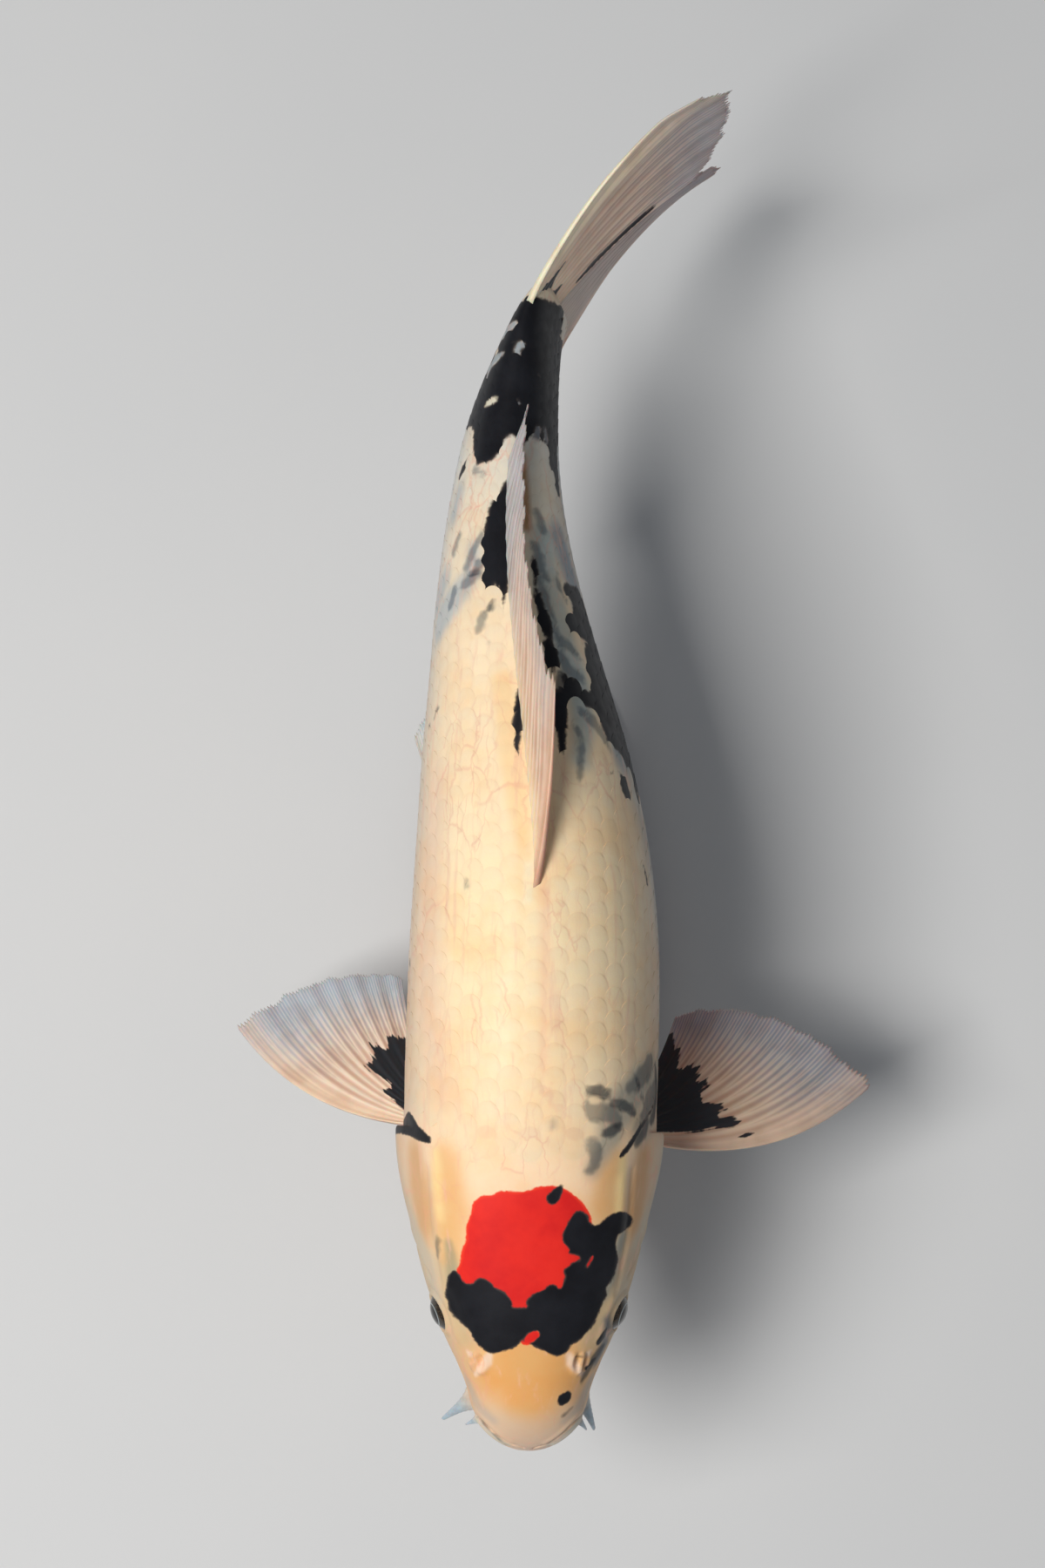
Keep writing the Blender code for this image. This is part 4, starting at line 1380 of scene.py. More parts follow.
def outward(mesh: Mesh, weld: float = 0.0) -> None:
    """Welds points that touch, then turns faces outwards.

    Args:
        mesh: the mesh.
        weld: how near points touch, or 0 for no welding.
    """
    bm = bmesh.new()
    bm.from_mesh(mesh)
    if weld:
        bmesh.ops.remove_doubles(bm, verts=bm.verts, dist=weld)
        bmesh.ops.dissolve_degenerate(bm, edges=bm.edges, dist=weld)
    bmesh.ops.recalc_face_normals(bm, faces=bm.faces)
    bm.to_mesh(mesh)
    bm.free()
    mesh.shade_smooth()


def plate(columns: int, rows: int) -> BMesh:
    """A closed flat plate from -1 to 1 each way, whose faces lie at heights of 1 and -1.

    Args:
        columns: faces across it.
        rows: faces along it.

    Returns:
        The plate, with a map of its faces.
    """
    bm = bmesh.new()
    bm.loops.layers.uv.new(BAKE_MAP)
    bmesh.ops.create_grid(bm, x_segments=columns, y_segments=rows, size=1, calc_uvs=True)
    bmesh.ops.translate(bm, verts=bm.verts, vec=(0, 0, 1))
    made = bmesh.ops.extrude_face_region(bm, geom=bm.faces[:], use_keep_orig=True)["geom"]
    lower = [item for item in made if isinstance(item, BMVert)]
    bmesh.ops.translate(bm, verts=lower, vec=(0, 0, -2))
    bmesh.ops.recalc_face_normals(bm, faces=bm.faces)
    return bm


def tube(sides: int, rings: int) -> BMesh:
    """A capped unit cylinder with rings across it, from z = 0 to 1.

    Args:
        sides: faces round it.
        rings: faces along it.

    Returns:
        The cylinder.
    """
    bm = bmesh.new()
    bmesh.ops.create_cone(bm, cap_ends=True, segments=sides, radius1=1, radius2=1, depth=1)
    upright = [e for e in bm.edges if abs(e.verts[0].co.z - e.verts[1].co.z) > 0.5]
    bmesh.ops.subdivide_edges(bm, edges=upright, cuts=rings - 1)
    bmesh.ops.translate(bm, verts=bm.verts, vec=(0, 0, 0.5))
    return bm


def turned(profile: tuple[tuple[float, float], ...], steps: int) -> BMesh:
    """A solid of revolution about z.

    Args:
        profile: (radius, height) points from the axis at the bottom to the axis at the top.
        steps: faces round it.

    Returns:
        The closed solid.
    """
    bm = bmesh.new()
    verts = [bm.verts.new((r, 0, z)) for r, z in profile]
    edges = [bm.edges.new(pair) for pair in zip(verts[:-1], verts[1:])]
    bmesh.ops.spin(
        bm, geom=verts + edges, cent=(0, 0, 0), axis=(0, 0, 1), angle=math.tau, steps=steps, use_merge=True
    )
    bmesh.ops.remove_doubles(bm, verts=bm.verts, dist=1e-6)
    bmesh.ops.dissolve_degenerate(bm, edges=bm.edges, dist=1e-7)
    bmesh.ops.recalc_face_normals(bm, faces=bm.faces)
    return bm


def piece(
    name: str, mesh: Mesh, finish: Material, nodes: tuple[str, ...]
) -> Object:
    """Puts a finished mesh in the scene, riding with the model.

    Args:
        name: the piece's name.
        mesh: its mesh, already in place.
        finish: its material.
        nodes: the solids it stands for.

    Returns:
        The object.
    """
    mesh.materials.clear()
    mesh.materials.append(finish)
    obj = bpy.data.objects.new(name, mesh)
    bpy.context.scene.collection.objects.link(obj)
    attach(obj, "root")
    if nodes:
        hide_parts(*nodes)
    LOG.info("%s: %d triangles", name, sum(len(p.vertices) - 2 for p in mesh.polygons))
    return obj


# The skin


@dataclass(frozen=True)
class Fold:
    """A soft ridge or groove along a line of (mm along, degrees round) on the skin."""

    points: tuple[tuple[float, float], ...]
    width: float  # mm
    height: float  # mm, negative for a groove
    both_sides: bool = True

    def relief(self, along: Array, places: Array) -> Array:
        """Its height in millimetres at each place.

        Args:
            along: distances along.
            places: the same places in the frame.

        Returns:
            The heights.
        """
        sides = (1, -1) if self.both_sides else (1,)
        depth = np.full(len(along), OUTSIDE)
        for side in sides:
            line = Stroke(tuple((s, side * angle, 0) for s, angle in self.points))
            depth = np.maximum(depth, line.depth(along, places))
        return self.height * np.exp(-((depth / self.width) ** 2))


FOLDS = (
    # groove over the upper lip
    Fold(((0.6, 30), (2.2, 50), (4.6, 54), (7.6, 57), (10.4, 62), (12.8, 76), (16, 92)), 0.65, -1.5),
    # skin drawn over the upper jaw, behind that groove
    Fold(((3.2, 38), (5.8, 46), (9, 50), (12.4, 55), (15.6, 66)), 1.3, 0.4),
    Fold(((2.6, 68), (5.4, 72), (8.6, 76), (11.4, 84)), 1.6, 0.7),
    # groove between skull and gill cover
    Fold(((60, 52), (72, 50), (86, 49), (98, 47), (106, 46)), 1.6, -0.8),
    Fold(((64, 45), (76, 43), (90, 42), (102, 40)), 2.4, 0.5),
    # front edge of the gill cover's big plate, and the plate before it
    Fold(((66, 62), (74, 70), (79, 84), (80, 100), (76, 116), (68, 130)), 1.2, -0.7),
    Fold(((70, 62), (79, 71), (84, 85), (85, 100), (81, 117), (73, 131)), 2.2, 0.4),
    # under the eye
    Fold(((41, 92), (48, 100), (56, 100), (63, 92)), 1.3, -0.5),
    Fold(((30, 70), (36, 88), (44, 104), (56, 112), (68, 112)), 1.4, -0.4),
    # folds of the throat
    Fold(((30, 152), (48, 154), (66, 150), (84, 144)), 1.3, -0.8),
    Fold(((46, 180), (60, 170), (78, 162), (94, 152)), 1.3, -0.8),
    Fold(((22, 128), (30, 140), (36, 160), (38, 180)), 1.5, -0.8),
    # corner of the mouth
    Fold(((22.5, 106), (26, 112), (28, 122)), 1.2, -0.8),
    # nostrils
    Fold(((35.2, 34.6), (33.8, 35.6)), 1.3, -1.5),
    Fold(((35.4, 42), (34, 42.8)), 1.2, -1.4),
    Fold(((36.6, 38.5), (33.6, 39), (31, 39.2)), 0.9, 1.5),
    Fold(((36.4, 31), (33.4, 30), (30.6, 34), (29.8, 39)), 1.1, 0.9),
    Fold(((36.4, 44), (34, 47), (31, 46)), 0.9, 0.8),
    # brow over the eye
    Fold(((43, 50), (52, 49), (61, 52)), 2.4, 0.6),
)


@dataclass(frozen=True)
class Skin:
    """One closed skin over the head, trunk and tail stalk."""

    columns: int = 240
    head_inset: float = 0.0002
    body_inset: float = 0.00075
    eye_along: float = 0.0520
    eye_angle: float = 69.0
    mouth_height: float = -0.0040
    mouth_corner_height: float = -0.0125
    mouth_corner: float = 0.023
    # where each row round the gill opening lies unfolded and folded, and its share of the cover's rise
    gill_rows: tuple[tuple[float, float, float], ...] = (
        (0.1060, 0.1062, 1.00), (0.1068, 0.1076, 1.00), (0.1076, 0.1090, 0.98), (0.1083, 0.1099, 0.90),
        (0.1088, 0.1102, 0.76), (0.1092, 0.1101, 0.62), (0.1096, 0.1094, 0.52), (0.1100, 0.1082, 0.42),
        (0.1104, 0.1070, 0.28), (0.1108, 0.1066, 0.12), (0.1112, 0.1074, 0.02), (0.1116, 0.1090, 0.00),
        (0.1122, 0.1108, 0.00), (0.1130, 0.1124, 0.00),
    )

    def rows(self) -> tuple[Array, Array, Array]:
        """Each row's flat place, folded place and share of the gill cover's rise.

        Returns:
            The three, with one number for each row.
        """
        nose = FORM.nose_length * (1 - np.cos(np.linspace(0, math.pi / 2, 41)))
        head = np.concatenate([nose[:-1], np.arange(0.02, 0.066, 0.0007), np.arange(0.0665, 0.1055, 0.001)])
        trunk = np.concatenate([np.arange(0.1142, 0.15, 0.002), np.linspace(0.1505, FORM.length, 120)])
        gill = np.array(self.gill_rows)
        flat = np.concatenate([head, gill[:, 0], trunk])
        folded = np.concatenate([head, gill[:, 1], trunk])
        share = np.concatenate([np.ones(len(head)), gill[:, 2], np.zeros(len(trunk))])
        return flat, folded, share

    def mouth_line(self) -> Array:
        """Points of the slit of the mouth, from the right corner round the front to the left.

        Returns:
            Its points in the frame, as rows.
        """
        along = np.array([0.0008, 0.0012, 0.0022, 0.004, 0.007, 0.011, 0.016, 0.02, self.mouth_corner])
        slope = (self.mouth_corner_height - self.mouth_height) / self.mouth_corner
        up = self.mouth_height + slope * along
        tip = 1 - np.clip(along / FORM.nose_length, 0, 1)
        cap = np.sqrt(1 - tip * tip)
        power = FORM.station(3, along)
        left = cap**power - np.abs(up / FORM.station(2, along)) ** power
        across = FORM.station(0, along) * np.maximum(0, left) ** (1 / power)
        across[0] = 0
        side = FORM.at(along, across, up)
        other = FORM.at(along, -across, up)
        return np.concatenate([other[::-1], side[1:]])

    def mouth(self, places: Array) -> Array:
        """Relief of the lips and the slit between them, in millimetres.

        Args:
            places: points of the skin.

        Returns:
            The relief at each.
        """
        line = self.mouth_line()
        relief = np.zeros(len(places))
        for shift, width, height in ((0, 0.65, -2.4), (2.6, 2, 0.9), (-2.4, 1.9, 0.8), (-5.4, 1, -0.5)):
            moved = line + np.array([0, 0, shift * MM])
            gap = np.full(len(places), np.inf)
            for a, b in zip(moved[:-1], moved[1:]):
                leg = b - a
                t = np.clip((places - a) @ leg / float(leg @ leg), 0.0, 1.0)
                gap = np.minimum(gap, np.linalg.norm(places - a - t[:, None] * leg, axis=1))
            relief += height * np.exp(-((gap / MM / width) ** 2))
        return relief

    def sockets(self, places: Array) -> Array:
        """Relief of the eye sockets and the rims round them, in millimetres.

        Args:
            places: points of the skin.

        Returns:
            The relief at each.
        """
        relief = np.zeros(len(places))
        for side in (1, -1):
            middle = FORM.plain(np.array([self.eye_along]), np.array([side * self.eye_angle]))[0]
            axis = FORM.normal(np.array([self.eye_along]), np.array([side * self.eye_angle]))[0]
            offset = places - middle
            away = np.linalg.norm(offset - (offset @ axis)[:, None] * axis, axis=1) / MM
            away = np.where(np.abs(offset @ axis) < 0.02, away, 99)
            relief += -3.6 * (1 - smoothstep(5.6, 7, away))
            relief += 0.7 * np.exp(-(((away - 7.8) / 0.9) ** 2))
            relief += -0.4 * np.exp(-(((away - 10.2) / 1.2) ** 2))
        return relief

    def build(self) -> Object:
        """Makes the skin, shapes its folds and paints it.

        Returns:
            The piece.
        """
        flat, folded, share = self.rows()
        bm = bmesh.new()
        bm.loops.layers.uv.new(BAKE_MAP)
        bmesh.ops.create_grid(bm, x_segments=self.columns, y_segments=len(flat), size=1, calc_uvs=True)
        mesh = mesh_of(bm, "koi_skin")
        grid = coordinates(mesh)
        row = np.rint((grid[:, 1] + 1) / 2 * len(flat)).astype(int)
        last = row >= len(flat)  # closes the tail's edge
        row = np.minimum(row, len(flat) - 1)
        angle = grid[:, 0] * 180
        cover = FORM.cover(angle)
        place = flat[row] + (folded[row] - flat[row]) * cover
        along = FORM.bowed(place, angle)
        rise = FORM.gill_rise * cover * smoothstep(FORM.gill_front, FORM.gill_joint - 0.004, place) * share[row]
        start = FORM.scale_line(angle)
        inset = blend(self.head_inset, self.body_inset, smoothstep(-0.004, 0.012, along - start))
        base = FORM.plain(along, angle)
        relief = np.zeros(len(along))
        head = np.flatnonzero(along < 0.135)
        for fold in FOLDS:
            relief[head] += fold.relief(along[head], base[head])
        relief[head] += self.mouth(base[head]) + self.sockets(base[head])
        points = FORM.surface(along, angle, rise - inset + relief * MM)
        tail = FORM.rolled(along, 0 * angle, FORM.radius(along, angle) * np.cos(np.radians(angle)))
        points[last] = tail[last]
        points[:, 2] = np.where(last, points[:, 2] * 0.996 + 0.004 * FORM.spine_height, points[:, 2])
        move(mesh, points)
        layer = mesh.uv_layers[BAKE_MAP]
        corners = np.empty(len(mesh.loops) * 2, dtype=np.float32)
        layer.uv.foreach_get("vector", corners)
        corners = corners.reshape(-1, 2).astype(float)
        corner_row = np.clip(np.rint(corners[:, 1] * len(flat)).astype(int), 0, len(flat) - 1)
        corner_angle = (corners[:, 0] * 2 - 1) * 180
        lay_map(mesh, FORM.unwrap(FORM.bowed(flat[corner_row], corner_angle), corner_angle))
        tucked = cover * (share[row] < 0.7) * (share[row] > 0) * 1
        for name, values in (("along", along), ("angle", angle), ("tucked", tucked)):
            store(mesh, name, values)
        outward(mesh, 1e-6)
        self.paint(mesh)
        nodes = ("head", "lower_jaw", "gill_cover_left", "gill_cover_right", "trunk_front", "trunk_rear", "tail_stalk")
        return piece("koi_skin", mesh, SkinFinish("koi_skin").build(), nodes)

    def paint(self, mesh: Mesh) -> None:
        """Stores the colours of the skin on its mesh.

        Args:
            mesh: the skin's mesh, which keeps where its points are on the body.
        """
        along, angle, tucked = kept(mesh, "along"), kept(mesh, "angle"), kept(mesh, "tucked")
        places = FORM.surface(along, angle)
        tint = PAINT.tint(along, angle, places)
        inner = np.array(linear(150, 74, 66))
        tint += (inner - tint) * tucked[:, None]
        store(mesh, "tint", tint)
        for name, marking in MARKINGS.items():
            store(mesh, name, marking.depth(along, angle, places))


# Scales


@dataclass(frozen=True)
class Scales:
    """Overlapping scales in rows that run the length of the body."""

    row_pitch: float = 0.0083  # over the skin, at the back
    side_pitch: float = 0.0102
    column_pitch: float = 0.0088
    first_column: float = 0.088
    last_column: float = 0.450
    half_length: float = 0.77  # of a scale, in column pitches
    half_width: float = 0.62  # in row pitches
    lift: float = 0.00011
    sink: float = 0.00032
    crown: float = 0.00014
    thickness: float = 0.00045
    patch: float = 0.003  # on the bake map

    def shrink(self, along: Array) -> Array:
        """How much smaller scales are towards the tail."""
        return 1 - 0.3 * smoothstep(0.21, 0.43, along)

    def columns(self) -> Array:
        """Distances along of the scales' middles, in half columns.

        Returns:
            The distances.
        """
        places = [self.first_column]
        while places[-1] < self.last_column:
            places.append(places[-1] + self.column_pitch * float(self.shrink(places[-1])) / 2)
        return np.array(places)

    def row_offset(self, row: int) -> float:
        """How far over the skin a row is from the middle of the back, before it shrinks."""
        growth = (self.side_pitch - self.row_pitch) / 10
        return sum(self.row_pitch + growth * min(k, 10) for k in range(row))

    def template(self) -> Mesh:
        """One scale: a round plate 1 in radius whose top is at a height of 0 and its foot at -1.

        Returns:
            The mesh.
        """
        bm = bmesh.new()
        bmesh.ops.create_grid(bm, x_segments=6, y_segments=6, size=1)
        for vert in bm.verts:
            x, y = vert.co.x, vert.co.y
            vert.co = (x * math.sqrt(1 - y * y / 2), y * math.sqrt(1 - x * x / 2), 0)
        rim = [edge for edge in bm.edges if edge.is_boundary]
        made = bmesh.ops.extrude_edge_only(bm, edges=rim)["geom"]
        lower = [item for item in made if isinstance(item, BMVert)]
        bmesh.ops.translate(bm, verts=lower, vec=(0, 0, -1))
        rim = [edge for edge in bm.edges if edge.is_boundary]
        bmesh.ops.holes_fill(bm, edges=rim, sides=0)
        bmesh.ops.recalc_face_normals(bm, faces=bm.faces)
        return mesh_of(bm, "koi_scale")

    def middles(self, side: int) -> tuple[Array, Array, Array]:
        """Where each scale of a side is: its distance along, its angle and its row's pitch.

        Args:
            side: 1 for the left side and -1 for the right.

        Returns:
            The three, with one number for each scale.
        """
        s, angles, girths = FORM.girths
        columns = self.columns()
        along, angle, pitch = [], [], []
        row = 0 if side > 0 else 1
        while True:
            offset = self.row_offset(row) * self.shrink(s)
            angle_of_row = np.array([np.interp(o, g, angles, right=999) for o, g in zip(offset, girths)])
            if angle_of_row.min() > 180:
                break
            for middle in columns[row % 2 :: 2]:
                here = float(np.interp(middle, s, angle_of_row))
                room = float(np.interp(middle, s, girths[:, -1])) - float(np.interp(middle, s, offset))
                line = float(FORM.scale_line(np.array(here)))
                if here < 181 and room > -0.2 * self.row_pitch and middle > line:
                    along.append(middle)
                    angle.append(side * here)
                    growth = (self.side_pitch - self.row_pitch) / 10
                    pitch.append((self.row_pitch + growth * min(row, 10)) * float(self.shrink(middle)))
            row += 1
        return np.array(along), np.array(angle), np.array(pitch)

    def build(self) -> list[Object]:
        """Makes the scales of each side as one mesh."""
        return [self.side(1, "left"), self.side(-1, "right")]

    def side(self, side: int, word: str) -> Object:
        """The scales of one side, laid over the skin and painted like it.

        Args:
            side: 1 for the left side and -1 for the right.
            word: the side's name.

        Returns:
            The piece.
        """
        middle, angle, pitch = self.middles(side)
        one = self.template()
        shape = coordinates(one)
        bm = bmesh.new()
        for _ in middle:
            bm.from_mesh(one)
        mesh = mesh_of(bm, f"koi_scales_{word}")
        bpy.data.meshes.remove(one)
        count, each = len(middle), len(shape)
        a = np.tile(shape[:, 1], (count, 1))  # from the root to the rear edge
        b = np.tile(shape[:, 0], (count, 1))
        level = np.tile(shape[:, 2], (count, 1))
        length = self.column_pitch * self.shrink(middle)[:, None] * self.half_length
        jitter = 1 + 0.05 * wander(middle * 900 + angle * 3, 1)[:, None]
        along = middle[:, None] + a * length * jitter
        per_degree = np.radians(1) * FORM.radius(middle, angle)
        slope = self.row_slope(middle, angle)
        turned_angle = angle[:, None] + (along - middle[:, None]) * slope[:, None]
        turned_angle = turned_angle + b * (pitch * self.half_width / per_degree)[:, None]
        radial = np.hypot(a, b)
        ahead = (middle - FORM.scale_line(angle))[:, None]
        young = smoothstep(0, 0.016, ahead)
        belly = 1 - 0.5 * smoothstep(140, 170, np.abs(angle))[:, None]
        lift = -self.sink + self.lift * a * belly - self.crown * b * b
        lift = lift - 0.0005 * (1 - young) + self.thickness * level
        along = np.minimum(along, FORM.length - 0.0005)
        points = FORM.surface(along.ravel(), turned_angle.ravel(), lift.ravel())
        move(mesh, points)
        flat_along, flat_angle = along.ravel(), turned_angle.ravel()
        centre_along, centre_angle = np.repeat(middle, each), np.repeat(angle, each)
        places = FORM.surface(flat_along, flat_angle)
        centres = FORM.surface(centre_along, centre_angle)
        tint = PAINT.tint(flat_along, flat_angle, places)
        tone = 1 + 0.035 * wander(centre_along * 700 + centre_angle * 1.3, 2)
        store(mesh, "tint", np.clip(tint * tone[:, None], 0, 1))
        for name, marking in MARKINGS.items():
            own = marking.depth(flat_along, flat_angle, places)
            whole = marking.depth(centre_along, centre_angle, centres)
            share = 0.6 if name in ("red", "black") else 1
            store(mesh, name, share * own + (1 - share) * whole)
        rear = smoothstep(-0.1, 0.7, a)
        net = smoothstep(0.8, 1, radial) * rear * (0.35 + 0.65 * young)
        store(mesh, "net", net.ravel())
        room = FORM.unwrap(middle, angle)
        spots = room[:, None, :] + np.stack([a, b], axis=-1) * self.patch / 2
        lay_map(mesh, np.clip(spots.reshape(-1, 2), 0.001, 0.999)[corner_points(mesh)])
        sharpened(mesh, 50)
        finish = SkinFinish(f"koi_scales_{word}", net=0.1, raggedness=0.8, veins=0.46).build()
        return piece(f"koi_scales_{word}", mesh, finish, ())

    def row_slope(self, along: Array, angle: Array) -> Array:
        """How a row's angle changes with the distance along, in degrees per metre.

        Args:
            along, angle: the places, on the body.

        Returns:
            The slope at each place.
        """
        near = 0.004
        s, angles, girths = FORM.girths
        turned_by = []
        for where, here in zip(along, angle):
            offset = abs(float(FORM.girth(np.array([where]), np.array([here]))[0])) / float(self.shrink(where))
            pair = []
            for shift in (-near, near):
                place = min(max(where + shift, 0), FORM.length)
                i = min(int(place / s[-1] * (len(s) - 1) + 0.5), len(s) - 1)
                pair.append(float(np.interp(offset * float(self.shrink(place)), girths[i], angles)))
            exact = (pair[1] - pair[0]) / (2 * near)
            turned_by.append(math.copysign(1.0, here) * float(np.clip(exact, -400.0, 400.0)) if here else 0.0)
        return np.array(turned_by)


# Fins


@dataclass(frozen=True)
class PairedFin:
    """A pectoral or pelvic fin, which fans out from a short root low on one side."""

    side: int
    root_along: float
    root_across: float
    root_up: float
    root_length: float
    root_drop: float
    first_length: float
    last_length: float
    first_angle: float
    last_angle: float
    droop: float
    twist: float
    bow: float
    roundness: float

    def point(self, share: Array, out: Array) -> tuple[Array, Array, Array]:
        """Body coordinates of places on the sheet.

        Args:
            share: from the front ray (0) to the last (1).
            out: from the root (0) to the edge (1).

        Returns:
            Distances along, across and up.
        """
        length = blend(self.first_length, self.last_length, share)
        length = length * (1 + self.roundness * np.sin(np.pi * share))
        angle = np.radians(blend(self.first_angle, self.last_angle, share))
        curve = self.bow * (1 - 0.75 * share) * out * (1 - out)
        away = length * (out * np.cos(angle) + curve * np.sin(angle))
        back = length * (out * np.sin(angle) - curve * np.cos(angle))
        fall = (self.droop + self.twist * share) * np.maximum(out, 0) ** 1.3
        return (
            self.root_along + self.root_length * share + back,
            self.side * (self.root_across + away),
            self.root_up - self.root_drop * share - fall,
        )


@dataclass(frozen=True)
class MedianFin:
    """The dorsal or anal fin, on the middle line of the back or belly, swept towards the tail."""

    upward: int
    root_start: float
    root_end: float
    first_sweep: float
    last_sweep: float
    first_height: float
    last_height: float
    lean: float
    root_across: float
    notch: float
    sink: float = 0.0025

    def point(self, share: Array, out: Array) -> tuple[Array, Array, Array]:
        """Body coordinates of places on the sheet.

        Args:
            share: from the front ray (0) to the last (1).
            out: from the root (0) to the edge (1).

        Returns:
            Distances along, across and up.
        """
        root = blend(self.root_start, self.root_end, share)
        along = root + out * (blend(self.first_sweep, self.last_sweep, share))
        height = blend(self.first_height, self.last_height, share)
        height = height * (1 - self.notch * smoothstep(0, 0.08, share) - 0.1 * np.sin(np.pi * share))
        lift = height * np.maximum(out, 0) ** 0.85
        across = self.root_across * np.sin(np.pi * share) + self.lean * lift
        skin = FORM.station(1 if self.upward > 0 else 2, along)
        return along, across, self.upward * (skin - self.sink + lift)


@dataclass(frozen=True)
class TailLobe:
    """Half of the tail fin, from its outer edge (share 0) to the fork (share 1)."""

    upward: int
    root_lean: float
    tip_lean: float
    curl: float
    outer_length: float
    fullness: float
    rounding: float
    root_along: float = 0.446
    root_height: float = 0.0270
    root_across: float = 0.0022
    fork_length: float = 0.0808
    outer_angle: float = 34.0
    fork_angle: float = 1.2
    sweep: float = 0.086

    def point(self, share: Array, out: Array) -> tuple[Array, Array, Array]:
        """Body coordinates of places on the sheet.

        Args:
            share: from the outer edge (0) to the fork (1).
            out: from the root (0) to the tip (1).

        Returns:
            Distances along, across and up.
        """
        outer = np.maximum(0, 1 - share)
        length = blend(self.fork_length, self.outer_length, outer**self.fullness)
        length = length * (1 - self.rounding * (1 - smoothstep(0, 0.25, share)))
        angle = np.radians(blend(self.fork_angle, self.outer_angle, outer**1.15))
        angle = angle * (1 - 0.35 * out)
        back = length * out * np.cos(angle)
        up = 0.0003 + (self.root_height - 0.0003) * outer + length * out * np.sin(angle)
        lean = blend(self.root_lean, self.tip_lean, smoothstep(-0.15, 0.95, out))
        lean = lean * outer * (1 - self.curl * smoothstep(0.8, 1, out))
        return self.root_along + back, self.root_across + self.sweep * back - lean, self.upward * up


class Branching(Enum):
    """How often each ray of a fin splits on its way out."""

    NONE = 0
    ONCE = 1
    TWICE = 2


